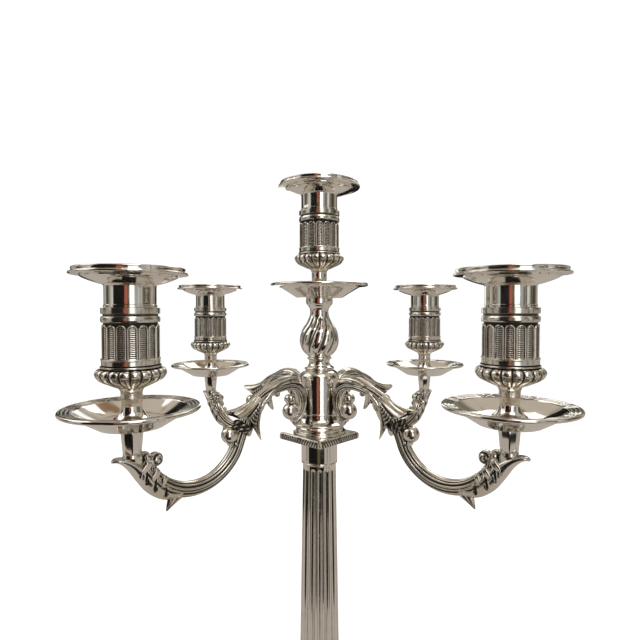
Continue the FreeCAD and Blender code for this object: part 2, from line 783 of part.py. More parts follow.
def make_lower_scroll(post_block):
    """Collar, outer bow, its volutes, the leaf under the post and the spike below."""
    slope = SIZES["calyx_slope"]
    bow = strap("bow_strap", [
        ("calyx_reach", "calyx_height", "bow_strap_radius", slope),
        bow_station(196, "bow_strap_radius"),
        bow_station(216, "bow_strap_radius + 0.1"),
        bow_station(238, "bow_strap_radius + 0.2"),
        bow_station(262, "bow_strap_radius + 0.3"),
        bow_station(286, "bow_end_strap_radius"),
        bow_station(308, "bow_end_strap_radius"),
        bow_station(328, "bow_end_strap_radius - 0.6"),
    ])
    leaf = strap("leaf_strap", [
        ("arm_reach - 23", "-11.5", "3", -20),
        ("arm_reach - 12", "-5.6", "5.2", -38),
        ("arm_reach - 3", "3.4", "6.4", -48),
        ("arm_reach + 4.2", "9.2", "4.4", -36),
        ("arm_reach + 9.8", "12.2", "1.3", -20),
    ])
    collar = doc.addObject("Part::Torus", "calyx_collar")
    collar.Radius1 = 4.6
    collar.Radius2 = 2.2
    normal = FreeCAD.Rotation(Y_AXIS, 90 + slope)
    advance = normal.multVec(Vector(0, 0, 2.3))
    mouth = Vector(number("calyx_reach"), 0, number("calyx_height"))
    collar.Placement = FreeCAD.Placement(mouth + advance, normal)
    seat = doc.addObject("Part::Cone", "post_seat")
    bind(seat, Radius1="post_top_radius - 0.8", Radius2="post_bottom_radius + 0.7", Height=12)
    place(seat, "arm_reach", 5)
    solid = combined("Part::MultiFuse", "lower_scroll_solid", [
        bow,
        leaf,
        collar,
        seat,
        ball("bow_volute", "82.4", "12.6", 4.9),
        roll("end_volute_inner", 133.6, 9.6, 3.4, 4),
        roll("end_volute_outer", 138.8, 12.4, 3.1, 4.4),
        spike("bow_spike", (128.5, -12), (125.8, -23), 4.2, 0.8),
    ])
    return cut("lower_scroll_master", solid, post_block)


def make_arms():
    """Four arms, each an upper scroll, a lower scroll and a post."""
    block, post = make_post()
    masters = {
        "upper_scroll": make_upper_scroll(),
        "lower_scroll": make_lower_scroll(block),
        "post": post,
    }
    return [
        copy_of(master, f"{kind}_{side}", 0, "column_top", turn)
        for kind, master in masters.items()
        for side, turn in ARM_TURNS.items()
    ]


# Checks and output ---------------------------------------------------------------------------


def check_document():
    """Stops if any object of the document failed to build."""
    for item in doc.Objects:
        if "Invalid" in item.State or "Error" in item.State:
            raise RuntimeError(f"{item.Label} failed: {item.State}")


def write_piece(piece):
    """Checks one sub-part's shape and writes it as a STEP file named after it."""
    shape = piece.Shape
    if shape.isNull() or not shape.isValid() or not shape.Solids:
        raise RuntimeError(f"{piece.Label} has no valid solid")
    shape.exportStep(f"parts/{piece.Label}.step")
    print(f"{piece.Label:22s} solids {len(shape.Solids)}  volume {shape.Volume:10.1f} mm3")


def main():
    """Builds every piece, checks the document and writes parts/."""
    fill_sheet()
    centre_pieces, centre_height = make_centre()
    pieces = make_base() + make_column() + make_tie() + centre_pieces
    pieces += make_lights(centre_height)
    pieces += make_arms()
    doc.recompute()
    check_document()
    os.makedirs("parts", exist_ok=True)
    for piece in pieces:
        write_piece(piece)


main()
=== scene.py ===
"""Silver-plated tabletop candelabra: the visual model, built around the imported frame.

Lengths inside the classes are millimetres, turned into metres when a mesh is made. A light is
drawn about its own axis, from the underside of its drip pan; an arm is drawn in the XZ plane, from
the column's axis and the top of the abacus. Everything is then placed where the frame says.
"""

import logging
import math
from dataclasses import dataclass, field
from enum import Enum
from typing import Callable, Optional, Sequence

import bpy
import numpy as np
from mathutils import Matrix, Vector

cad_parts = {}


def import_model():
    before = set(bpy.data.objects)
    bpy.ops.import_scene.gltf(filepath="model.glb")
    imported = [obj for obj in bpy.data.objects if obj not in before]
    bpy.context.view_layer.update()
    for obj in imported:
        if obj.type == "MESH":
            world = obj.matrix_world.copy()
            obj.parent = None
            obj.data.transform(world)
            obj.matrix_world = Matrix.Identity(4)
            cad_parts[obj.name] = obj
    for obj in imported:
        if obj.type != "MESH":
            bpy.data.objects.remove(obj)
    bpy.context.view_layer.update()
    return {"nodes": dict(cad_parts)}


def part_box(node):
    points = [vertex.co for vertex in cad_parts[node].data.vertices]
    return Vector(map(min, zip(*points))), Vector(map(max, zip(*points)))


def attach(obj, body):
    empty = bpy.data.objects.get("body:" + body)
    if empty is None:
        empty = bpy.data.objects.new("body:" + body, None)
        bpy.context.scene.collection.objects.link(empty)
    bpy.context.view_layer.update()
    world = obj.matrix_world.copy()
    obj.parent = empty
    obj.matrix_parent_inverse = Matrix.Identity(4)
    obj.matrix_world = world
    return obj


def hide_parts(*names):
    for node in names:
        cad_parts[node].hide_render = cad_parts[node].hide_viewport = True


LOG = logging.getLogger("candelabra")
MM = 0.001
ROD = 2.7  # radius of the bore that the rod and the screws pass through
COLUMN_TOP = 291.5  # height of the abacus's top over the table
# name of the mesh attribute holding each point's recess depth, painted shade included on some pieces
RECESS = "recess"
TAU = 2 * math.pi

Array = np.ndarray
Relief = Callable[[Array, Array, Array], tuple[Array, Array]]


class Side(Enum):
    """Where a light stands: over the centre, or at the end of an arm, with the arm's heading."""

    CENTRE = ("centre", None)
    RIGHT = ("right", 0)
    FRONT = ("front", -90)
    LEFT = ("left", 180)
    BACK = ("back", 90)

    @property
    def label(self) -> str:
        """The word that ends the names of this side's nodes."""
        return self.value[0]

    @property
    def turn(self) -> float:
        """The arm's heading in degrees from +X; the centre light faces +X."""
        return self.value[1] or 0.0

    @property
    def on_arm(self) -> bool:
        """Whether this light stands on an arm."""
        return self.value[1] is not None


ARMS = [side for side in Side if side.on_arm]


class Slot(Enum):
    """The record's material slots, passed along with the visual pieces."""

    POLISHED = "polished_silver"
    CHASED = "chased_silver"


# Shapes in numbers ---------------------------------------------------------------------------


def smooth(low: float, high: float, value: Array) -> Array:
    """A soft step from 0 at low to 1 at high.

    Args:
        low: value where the step starts; may be above high for a falling step.
        high: value where the step ends.
        value: what is tested.

    Returns:
        The step, between 0 and 1.
    """
    share = np.clip((value - low) / (high - low), 0, 1)
    return share * share * (3 - 2 * share)


def ridge(distance: Array, width: float) -> Array:
    """A rounded bead, 1 on its crest and 0 beyond half its width."""
    return np.sqrt(np.clip(1 - (distance / (width / 2)) ** 2, 0, 1))


def bead(distance: Array, width: float) -> Array:
    """A gentler bead than a ridge, 1 on its crest and falling evenly to its edges."""
    return np.clip(1 - (distance / (width / 2)) ** 2, 0, 1)


def saw(value: Array) -> Array:
    """The distance to the nearest whole number, with its sign: from -0.5 to 0.5."""
    return (value + 0.5) % 1 - 0.5


@dataclass(frozen=True)
class Corner:
    """One corner of a turned outline, in millimetres.

    Attributes:
        across: distance from the axis.
        up: height.
        bulge: bow of the edge that leaves the corner, outwards where positive.
        step: longest step along that edge once it is a mesh.
    """

    across: float
    up: float
    bulge: float = 0.0
    step: float = 2.5


@dataclass
class Outline:
    """A turned outline: corners joined by lines and arcs, with every corner slightly eased."""

    corners: Sequence[Corner]
    ease: float = 0.22
    grain: float = 0.05
    turn_limit: float = math.radians(7)

    def dense(self) -> tuple[Array, Array]:
        """Points along the whole outline at an even fine grain, with each one's longest step.

        Returns:
            The points, and the longest step at each.
        """
        points: list[Array] = []
        steps: list[Array] = []
        for corner, following in zip(self.corners, self.corners[1:]):
            start = np.array([corner.across, corner.up], float)
            chord = np.array([following.across, following.up], float) - start
            length = float(np.hypot(*chord))
            count = max(2, int(length * (1 + abs(corner.bulge)) / self.grain))
            share = np.linspace(0, 1, count, endpoint=False)[:, None]
            line = start + chord * share
            if corner.bulge:
                line = self._bow(start, chord, corner.bulge, share)
            points.append(line)
            steps.append(np.full(count, corner.step))
        last = self.corners[-1]
        points.append(np.array([[last.across, last.up]], float))
        steps.append(np.array([last.step]))
        return np.vstack(points), np.concatenate(steps)

    @staticmethod
    def _bow(start: Array, chord: Array, bulge: float, share: Array) -> Array:
        """The arc over a chord whose rise is bulge times half the chord.

        Args:
            start: first point of the edge.
            chord: from that point to the last one.
            bulge: rise of the arc over half its chord.
            share: shares of the way along the arc.

        Returns:
            Points along the arc.
        """
        half = 2 * math.atan(bulge)
        length = float(np.hypot(*chord))
        along = chord / length
        right = np.array([along[1], -along[0]])
        radius = length / (2 * math.sin(half))
        angle = -half + 2 * half * share
        lift = radius * (np.cos(angle) - math.cos(half))
        return start + along * (length / 2 + radius * np.sin(angle)) + right * lift

    def sampled(self) -> tuple[Array, Array]:
        """The eased outline as few points as its bends need.

        Returns:
            The points, and the outward normals at them.
        """
        points, steps = self.dense()
        reach = max(1, int(self.ease / self.grain))
        window = np.hanning(2 * reach + 3)[1:-1]
        window /= window.sum()
        padded = np.vstack([2 * points[0] - points[reach:0:-1], points,
                            2 * points[-1] - points[-2:-reach - 2:-1]])
        eased = np.stack([np.convolve(padded[:, k], window, "valid") for k in (0, 1)], axis=1)
        eased[0], eased[-1] = points[0], points[-1]
        tangent = np.gradient(eased, axis=0)
        tangent /= np.maximum(np.hypot(*tangent.T), 1e-9)[:, None]
        heading = np.unwrap(np.arctan2(tangent[:, 1], tangent[:, 0]))
        travel = np.concatenate([[0], np.cumsum(np.hypot(*np.diff(eased, axis=0).T))])
        kept = [0]
        for index in range(1, len(eased) - 1):
            turned = abs(heading[index + 1] - heading[kept[-1]]) > self.turn_limit
            far = travel[index + 1] - travel[kept[-1]] > steps[index]
            if turned or far:
                kept.append(index)
        kept.append(len(eased) - 1)
        normal = np.stack([tangent[:, 1], -tangent[:, 0]], axis=1)
        return eased[kept], normal[kept]


@dataclass
class Casting:
    """Skins of points gathered into one mesh, with a recess depth at every point that on some pieces also
    holds painted shade.
    """

    name: str
    points: list[Array] = field(default_factory=list)
    recesses: list[Array] = field(default_factory=list)
    faces: list[tuple[int, ...]] = field(default_factory=list)

    def _start(self, grid: Array, recess: Optional[Array]) -> int:
        """Stores a grid's points and returns the number of its first one.

        Args:
            grid: the points, in rows and columns.
            recess: recess at each point, or None where there is none.

        Returns:
            The number of the grid's first point.
        """
        first = sum(len(block) for block in self.points)
        self.points.append(grid.reshape(-1, 3))
        flat = np.zeros(grid.shape[:-1]) if recess is None else np.broadcast_to(recess, grid.shape[:-1])
        self.recesses.append(flat.reshape(-1))
        return first

    def skin(self, grid: Array, recess: Optional[Array] = None, ends: bool = False) -> "Casting":
        """Adds a grid of points, closed round its columns.

        Args:
            grid: rows by columns by XYZ; every row is a closed loop.
            recess: 0 on proud metal to 1 in the deepest hollow, at each point; some pieces put painted shade
                in it too.
            ends: whether the first and last rows are closed with a face.

        Returns:
            This casting.
        """
        first = self._start(grid, recess)
        rows, columns = grid.shape[:2]
        for row in range(rows - 1):
            base = first + row * columns
            for column in range(columns):
                beside = (column + 1) % columns
                self.faces.append((base + column, base + beside,
                                   base + columns + beside, base + columns + column))
        if ends:
            self.faces.append(tuple(first + column for column in reversed(range(columns))))
            top = first + (rows - 1) * columns
            self.faces.append(tuple(top + column for column in range(columns)))
        return self

    def turned(self, outline: Outline, around: int, relief: Optional[Relief] = None) -> "Casting":
        """Adds an outline turned about Z, with a relief raised along its normals.

        Args:
            outline: from the bottom, up the outside and back down inside.
            around: how many points make a turn.
            relief: from angle, distance from the axis and height to height of relief and recess.

        Returns:
            This casting.
        """
        line, normal = outline.sampled()
        angle = np.linspace(0, TAU, around, endpoint=False)[None, :]
        across, up = line[:, :1], line[:, 1:]
        rise, recess = np.zeros((len(line), around)), np.zeros((len(line), around))
        if relief is not None:
            rise, recess = (np.broadcast_to(part, rise.shape) for part in relief(angle, across, up))
        radius = across + rise * normal[:, :1]
        height = up + rise * normal[:, 1:]
        radius = np.maximum(radius, 0.0)
        grid = np.stack([radius * np.cos(angle), radius * np.sin(angle), height + 0 * angle], axis=2)
        return self.skin(grid, recess, ends=True)

    def mesh(self) -> bpy.types.Mesh:
        """The mesh in metres, smooth, with its recess attribute.

        Returns:
            The mesh.
        """
        mesh = bpy.data.meshes.new(self.name)
        points = np.vstack(self.points) * MM
        mesh.from_pydata(points.tolist(), [], self.faces)
        recess = mesh.attributes.new(RECESS, "FLOAT", "POINT")
        recess.data.foreach_set("value", np.clip(np.concatenate(self.recesses), 0, 1).astype(np.float32))
        mesh.polygons.foreach_set("use_smooth", [len(face) <= 4 for face in self.faces])
        mesh.update()
        return mesh


@dataclass
class Path:
    """A curve in the plane of an arm through stations of (reach, height, thickness, width).

    Thickness and width are half sizes: in the plane of the arm, and across it.
    """

    stations: Sequence[tuple[float, float, float, float]]
    rows: int = 60

    def sampled(self) -> tuple[Array, Array, Array, Array, Array]:
        """A smooth curve through the stations.

        Returns:
            Points, unit tangents, half thicknesses, half widths, and the share of the length.
        """
        knots = np.array(self.stations, float)
        gaps = np.sqrt(np.hypot(*np.diff(knots[:, :2], axis=0).T))
        places = np.concatenate([[0], np.cumsum(gaps)])
        slopes = self._slopes(places, knots)
        fine = np.linspace(0, places[-1], self.rows * 8)
        index = np.clip(np.searchsorted(places, fine, "right") - 1, 0, len(knots) - 2)
        width = (places[index + 1] - places[index])[:, None]
        share = (fine - places[index])[:, None] / width
        curve = ((1 + 2 * share) * (1 - share) ** 2 * knots[index]
                 + share * (1 - share) ** 2 * width * slopes[index]
                 + share ** 2 * (3 - 2 * share) * knots[index + 1]
                 + share ** 2 * (share - 1) * width * slopes[index + 1])
        travel = np.concatenate([[0], np.cumsum(np.hypot(*np.diff(curve[:, :2], axis=0).T))])
        even = np.linspace(0, travel[-1], self.rows)
        curve = np.stack([np.interp(even, travel, column) for column in curve.T], axis=1)
        tangent = np.gradient(curve[:, :2], axis=0)
        tangent /= np.hypot(*tangent.T)[:, None]
        return curve[:, :2], tangent, curve[:, 2:3], curve[:, 3:4], even[:, None] / travel[-1]

    @staticmethod
    def _slopes(places: Array, knots: Array) -> Array:
        """The curve's slope at each station, from its neighbours.

        Args:
            places: the curve's parameter at each station.
            knots: the stations.

        Returns:
            The slope at each station.
        """
        steps = np.diff(knots, axis=0) / np.diff(places)[:, None]
        gaps = np.diff(places)[:, None]
        inner = (steps[:-1] * gaps[1:] + steps[1:] * gaps[:-1]) / (gaps[:-1] + gaps[1:])
        return np.vstack([steps[:1], inner, steps[-1:]])


def swept(path: Path, around: int, relief: Relief) -> tuple[Array, Array]:
    """A bar along a path, with a relief raised on its section.

    Args:
        path: where the bar goes and how thick it is.
        around: points round its section; angle 0 is the outer side of a clockwise bend.
        relief: from angle, share of the length and half thickness to relief and recess.

    Returns:
        The grid of points and their recess.
    """
    point, tangent, thick, wide, share = path.sampled()
    angle = np.linspace(0, TAU, around, endpoint=False)[None, :]
    rise, recess = relief(angle, share, thick)
    inward = np.cos(angle) * (thick + rise)
    aside = np.sin(angle) * (wide + rise)
    outer = np.stack([-tangent[:, 1], tangent[:, 0]], axis=1)
    grid = np.stack([point[:, :1] + outer[:, :1] * inward, aside,
                     point[:, 1:] + outer[:, 1:] * inward], axis=2)
    return grid, np.broadcast_to(recess, grid.shape[:2])


def arc_stations(centre: tuple[float, float], radius: float, start: float, end: float,
                 thick: Sequence[float], wide: Sequence[float]) -> list[tuple[float, float, float, float]]:
    """Stations evenly along an arc in the plane of an arm.

    Args:
        centre: reach and height of the arc's centre.
        radius: the arc's radius.
        start: first angle in degrees from the outward direction, anticlockwise.
        end: last angle.
        thick: half thickness at each station.
        wide: half width at each station.

    Returns:
        One station for each thickness.
    """
    angles = np.radians(np.linspace(start, end, len(thick)))
    return [(centre[0] + radius * math.cos(a), centre[1] + radius * math.sin(a), t, w)
            for a, t, w in zip(angles, thick, wide)]


def mouldings(grooves: Sequence[tuple[float, float, float]]) -> Relief:
    """Long grooves cut along a bar, the same on both of its cheeks.

    Args:
        grooves: angle from the outer side in degrees, half width in degrees and depth of each.

    Returns:
        The relief.
    """

    def relief(angle: Array, share: Array, thick: Array) -> tuple[Array, Array]:
        """Depth of the grooves and the dark in them.

        Args:
            angle: angle round the axis of each column of points, in radians.
            share: share of the bar's length at each row.
            thick: half thickness of the bar at each row, in millimetres; not used.

        Returns:
            Height of the relief and depth of the recess at each point.
        """
        cheek = np.degrees(np.abs(saw(angle / TAU) * TAU))
        fade = smooth(0, 0.03, share) * smooth(1, 0.97, share)
        cut, dark = np.zeros_like(cheek * share), np.zeros_like(cheek * share)
        for place, half, depth in grooves:
            valley = np.exp(-((cheek - place) / half) ** 2)
            cut = cut + depth * valley
            dark = np.maximum(dark, valley ** 1.5 * min(1.0, depth / 0.7))
        crown = 0.125 * np.cos(np.radians(cheek * 6))
        return (crown - cut) * fade, dark * fade

    return relief


STRAP = ((34, 6, 0.55), (62, 8, 0.85), (90, 5, 0.5), (112, 7, 0.8), (140, 6, 0.5))


def spiral_ball(centre: tuple[float, float], radius: float, half_width: float, turns: float = 1.4,
                facing: float = 0.0, groove: float = 0.55) -> tuple[Array, Array]:
    """A scroll's rolled end: a bossed roll across the arm with a spiral cut in both cheeks.

    Args:
        centre: reach and height of its centre.
        radius: its radius in the plane of the arm.
        half_width: half its width across the arm.
        turns: turns of the spiral.
        facing: angle in degrees at which the spiral leaves the rim.
        groove: depth of the spiral.

    Returns:
        The grid of points and their recess.
    """
    lean = np.linspace(-math.pi / 2, math.pi / 2, 45)[:, None]
    across = np.sign(np.sin(lean)) * np.abs(np.sin(lean)) ** 0.9
    rim = np.sqrt(np.clip(1 - np.abs(across) ** 2.3, 0, 1))
    angle = np.linspace(0, TAU, 60, endpoint=False)[None, :]
    inside = rim + 0 * angle
    wind = (angle - math.radians(facing)) / TAU % 1
    window = smooth(0.12, 0.3, inside) * smooth(0.97, 0.8, inside)
    depth = bead(saw(inside * turns * 1.6 - wind), 0.42) * window
    size = radius * rim
    grid = np.stack([centre[0] + size * np.cos(angle),
                     half_width * across - np.sign(across) * groove * depth,
                     centre[1] + size * np.sin(angle)], axis=2)
    return grid, depth * min(1.0, groove / 0.5)


# Finishes ------------------------------------------------------------------------------------


class NodeBook:
    """Short calls for building shader nodes in one node tree."""

    def __init__(self, tree: bpy.types.NodeTree) -> None:
        """Keeps the tree that the nodes go in."""
        self.tree = tree

    def node(self, kind: str, **values: object) -> bpy.types.Node:
        """Adds a node; values name its attributes.

        Args:
            kind: the node's type.
            values: attributes to set on it.

        Returns:
            The node.
        """
        made = self.tree.nodes.new(kind)
        for name, value in values.items():
            setattr(made, name, value)
        return made

    def link(self, source: bpy.types.NodeSocket, target: bpy.types.NodeSocket) -> None:
        """Joins two sockets."""
        self.tree.links.new(source, target)

    def noise(self, position: bpy.types.NodeSocket, scale: float, detail: float = 3,
              rough: float = 0.5) -> bpy.types.NodeSocket:
        """A noise's value at a position.

        Args:
            position: where the noise is read.
            scale: its frequency, per metre.
            detail: its octaves.
            rough: how strong the finer octaves are.

        Returns:
            The socket with its value.
        """
        made = self.node("ShaderNodeTexNoise")
        self.link(position, made.inputs["Vector"])
        made.inputs["Scale"].default_value = scale
        made.inputs["Detail"].default_value = detail
        made.inputs["Roughness"].default_value = rough
        return made.outputs["Fac"]

    def sum(self, kind: str, *terms: object) -> bpy.types.NodeSocket:
        """A Math node over sockets and numbers.

        Args:
            kind: the operation.
            terms: its inputs, each a number or a socket.

        Returns:
            The socket with the result.
        """
        made = self.node("ShaderNodeMath", operation=kind)
        for index, term in enumerate(terms):
            if isinstance(term, (int, float)):
                made.inputs[index].default_value = term
            else:
                self.link(term, made.inputs[index])
        return made.outputs[0]

    def range(self, value: bpy.types.NodeSocket, low: object, high: object,
              first: object = 0.0, last: object = 1.0) -> bpy.types.NodeSocket:
        """A Map Range node; each limit is a number or a socket.

        Args:
            value: what is mapped.
            low: value that gives the first result.
            high: value that gives the last result.
            first: the first result.
            last: the last result.

        Returns:
            The socket with the result.
        """
        made = self.node("ShaderNodeMapRange", interpolation_type="SMOOTHSTEP")
        self.link(value, made.inputs["Value"])
        for name, term in (("From Min", low), ("From Max", high), ("To Min", first), ("To Max", last)):
            if isinstance(term, (int, float)):
                made.inputs[name].default_value = term
            else:
                self.link(term, made.inputs[name])
        return made.outputs["Result"]

    def blend(self, share: bpy.types.NodeSocket, first: object, last: object) -> bpy.types.NodeSocket:
        """A colour between two; each is a colour or a socket.

        Args:
            share: 0 for the first colour and 1 for the last.
            first: the first colour.
            last: the last colour.

        Returns:
            The socket with the colour.
        """
        made = self.node("ShaderNodeMix", data_type="RGBA")
        self.link(share, made.inputs["Factor"])
        for name, term in (("A", first), ("B", last)):
            socket = next(s for s in made.inputs if s.name == name and s.type == "RGBA")
            if isinstance(term, tuple):
                socket.default_value = term
            else:
                self.link(term, socket)
        return next(s for s in made.outputs if s.type == "RGBA")


@dataclass(frozen=True)
class Silver:
    """A silver-plated finish.

    Attributes:
        name: the material's name.
        clean: colour where it is polished.
        dark: colour of the oxide in the recesses, and of the painted shade that shares its mask.
        stain: how far the oxide spreads out of the recesses, 0 to 1.
        gloss: roughness where it is polished.
        wobble: height in metres of the hand-finished waviness.
    """

    name: str
    clean: tuple[float, float, float, float]
    dark: tuple[float, float, float, float]
    stain: float
    gloss: float
    wobble: float


@dataclass(frozen=True)
class Plain:
    """A finish for a piece that is mostly hidden.

    Attributes:
        name: the material's name.
        light: lighter colour of its grain.
        deep: darker colour of its grain.
        metal: 1 for a metal, 0 for anything else.
        rough: its roughness.
        scale: grain's frequency, per metre.
        bump: grain's height in metres.
    """

    name: str
    light: tuple[float, float, float, float]
    deep: tuple[float, float, float, float]
    metal: float
    rough: float
    scale: float
    bump: float


class Finishes:
    """Makes and keeps the materials, on two shared node groups."""

    POLISHED = Silver("bright_silver_plate", (0.87, 0.84, 0.785, 1), (0.055, 0.045, 0.032, 1),
                      0.25, 0.075, 0.00004)
    CHASED = Silver("chased_silver_plate", (0.82, 0.79, 0.73, 1), (0.022, 0.018, 0.013, 1),
                    0.6, 0.15, 0.00003)
    BRASS = Plain("turned_brass", (0.78, 0.60, 0.28, 1), (0.50, 0.35, 0.13, 1), 1.0, 0.30, 900, 0.00002)
    STEEL = Plain("zinc_plated_steel", (0.62, 0.62, 0.60, 1), (0.40, 0.40, 0.40, 1), 1.0, 0.38, 1200, 0.00002)
    LEATHER = Plain("hide_sleeve", (0.33, 0.19, 0.10, 1), (0.18, 0.09, 0.045, 1), 0.0, 0.62, 1500, 0.00008)
    FILLER = Plain("cast_plaster", (0.60, 0.57, 0.50, 1), (0.44, 0.41, 0.35, 1), 0.0, 0.85, 500, 0.0002)
    FELT = Plain("green_baize", (0.06, 0.20, 0.11, 1), (0.025, 0.10, 0.055, 1), 0.0, 0.95, 2600, 0.00025)

    FILM = (0.58, 0.50, 0.34, 1)

    def __init__(self) -> None:
        """Builds the groups; materials follow when they are asked for."""
        self.oxide = self._oxide_group()
        self.hand = self._hand_group()
        self.made: dict[str, bpy.types.Material] = {}

    @staticmethod
    def _group(name: str, takes: Sequence[tuple[str, str, object]],
               gives: Sequence[tuple[str, str]]) -> tuple[NodeBook, bpy.types.Node, bpy.types.Node]:
        """Starts a node group with its named sockets.

        Args:
            name: the group's name.
            takes: name, socket type and default of each input.
            gives: name and socket type of each output.

        Returns:
            The group's book, its input node and its output node.
        """
        tree = bpy.data.node_groups.new(name, "ShaderNodeTree")
        for label, kind, default in takes:
            socket = tree.interface.new_socket(name=label, in_out="INPUT", socket_type=kind)
            socket.default_value = default
        for label, kind in gives:
            tree.interface.new_socket(name=label, in_out="OUTPUT", socket_type=kind)
        book = NodeBook(tree)
        return book, book.node("NodeGroupInput"), book.node("NodeGroupOutput")

    def _oxide_group(self) -> bpy.types.NodeTree:
        """Oxide that stays in the recesses and is rubbed off the proud metal, together with the painted shade
        that some pieces put in the same recess attribute.

        Returns:
            The group's tree.
        """
        book, given, result = self._group(
            "oxide_and_painted_shade",
            [("Clean", "NodeSocketColor", (0.9, 0.9, 0.9, 1)),
             ("Dark", "NodeSocketColor", (0.05, 0.05, 0.05, 1)), ("Stain", "NodeSocketFloat", 0.5)],
            [("Colour", "NodeSocketColor"), ("Mask", "NodeSocketFloat")])
        place = book.node("ShaderNodeTexCoord").outputs["Object"]
        recess = book.node("ShaderNodeAttribute", attribute_name=RECESS).outputs["Fac"]
        cloud = book.noise(place, 160, 4, 0.6)
        spot = book.noise(place, 900, 3, 0.6)
        spread = book.sum("MULTIPLY", book.sum("SUBTRACT", cloud, 0.5), 0.5)
        fine = book.sum("MULTIPLY", book.sum("SUBTRACT", spot, 0.5), 0.35)
        stain = given.outputs["Stain"]
        depth = book.sum("ADD", recess, book.sum("MULTIPLY", book.sum("ADD", spread, fine), stain))
        edge = book.sum("SUBTRACT", 0.62, book.sum("MULTIPLY", stain, 0.35))
        mask = book.range(depth, book.sum("MULTIPLY", edge, 0.3), edge)
        film = book.range(book.noise(place, 45, 5, 0.6), 0.36, 0.68, 0.1, 0.8)
        warm = book.blend(book.sum("MULTIPLY", film, stain), given.outputs["Clean"], self.FILM)
        book.link(book.blend(mask, warm, given.outputs["Dark"]), result.inputs["Colour"])
        book.link(mask, result.inputs["Mask"])
        return book.tree

    def _hand_group(self) -> bpy.types.NodeTree:
        """Waviness, fine scratches and smears that years of polishing leave.

        Returns:
            The group's tree.
        """
        book, given, result = self._group(
            "hand_polish",
            [("Gloss", "NodeSocketFloat", 0.1), ("Wobble", "NodeSocketFloat", 0.00003),
             ("Mask", "NodeSocketFloat", 0.0)],
            [("Roughness", "NodeSocketFloat"), ("Height", "NodeSocketFloat")])
        place = book.node("ShaderNodeTexCoord").outputs["Object"]
        smear = book.range(book.noise(place, 70, 4, 0.65), 0.4, 0.75, 0.0, 0.09)
        rough = book.sum("ADD", given.outputs["Gloss"], smear)
        worn = book.range(given.outputs["Mask"], 0.0, 1.0, rough, 0.5)
        book.link(worn, result.inputs["Roughness"])
        wave = book.sum("MULTIPLY", book.noise(place, 110, 1, 0.4), given.outputs["Wobble"])
        stretch = book.node("ShaderNodeMapping")
        stretch.inputs["Scale"].default_value = (1, 1, 0.12)
        stretch.inputs["Rotation"].default_value = (0.6, 0.4, 0.2)
        book.link(place, stretch.inputs["Vector"])
        hair = book.sum("MULTIPLY", book.noise(stretch.outputs["Vector"], 5200, 2, 0.7), 0.0000016)
        book.link(book.sum("ADD", wave, hair), result.inputs["Height"])
        return book.tree

    def _start(self, name: str) -> tuple[NodeBook, bpy.types.Node]:
        """A new material's book and its Principled shader.

        Args:
            name: name of what is made.

        Returns:
            The material's book, and its shader.
        """
        material = bpy.data.materials.new(name)
        material.use_nodes = True
        self.made[name] = material
        book = NodeBook(material.node_tree)
        return book, material.node_tree.nodes["Principled BSDF"]

    @staticmethod
    def _placed(book: NodeBook, group: bpy.types.NodeTree, **values: object) -> bpy.types.Node:
        """Places a group and sets or links its inputs.

        Args:
            book: the tree that the nodes go in.
            group: the group to place.
            values: its inputs, each a constant or a socket.

        Returns:
            The placed group.
        """
        made = book.node("ShaderNodeGroup", node_tree=group)
        for name, value in values.items():
            if isinstance(value, bpy.types.NodeSocket):
                book.link(value, made.inputs[name])
            else:
                made.inputs[name].default_value = value
        return made

    @staticmethod
    def _bumped(book: NodeBook, shader: bpy.types.Node, height: bpy.types.NodeSocket) -> None:
        """Raises a shader's surface by a height in metres.

        Args:
            book: the tree that the nodes go in.
            shader: the shader.
            height: the height.
        """
        bump = book.node("ShaderNodeBump")
        bump.inputs["Strength"].default_value = 1.0
        bump.inputs["Distance"].default_value = 1.0
        book.link(height, bump.inputs["Height"])
        book.link(bump.outputs["Normal"], shader.inputs["Normal"])

    def silver(self, finish: Silver) -> bpy.types.Material:
        """The material of a silver finish.

        Args:
            finish: the finish.

        Returns:
            The material.
        """
        if finish.name in self.made:
            return self.made[finish.name]
        book, shader = self._start(finish.name)
        # the mask is oxide in the recesses and also the painted shade that some pieces put in the recess
        # attribute
        oxide = self._placed(book, self.oxide, Clean=finish.clean, Dark=finish.dark, Stain=finish.stain)
        hand = self._placed(book, self.hand, Gloss=finish.gloss, Wobble=finish.wobble,
                            Mask=oxide.outputs["Mask"])
        book.link(oxide.outputs["Colour"], shader.inputs["Base Color"])
        book.link(hand.outputs["Roughness"], shader.inputs["Roughness"])
        book.link(book.range(oxide.outputs["Mask"], 0.3, 1.0, 1.0, 0.6), shader.inputs["Metallic"])
        self._bumped(book, shader, hand.outputs["Height"])
        return self.made[finish.name]

    def plain(self, finish: Plain) -> bpy.types.Material:
        """The material of a plain finish.

        Args:
            finish: the finish.

        Returns:
            The material.
        """
        if finish.name in self.made:
            return self.made[finish.name]
        book, shader = self._start(finish.name)
        place = book.node("ShaderNodeTexCoord").outputs["Object"]
        grain = book.noise(place, finish.scale, 4, 0.65)
        book.link(book.blend(grain, finish.deep, finish.light), shader.inputs["Base Color"])
        shader.inputs["Metallic"].default_value = finish.metal
        rough = book.range(grain, 0.2, 0.8, finish.rough + 0.08, finish.rough - 0.08)
        book.link(rough, shader.inputs["Roughness"])
        self._bumped(book, shader, book.sum("MULTIPLY", grain, finish.bump))
        return self.made[finish.name]


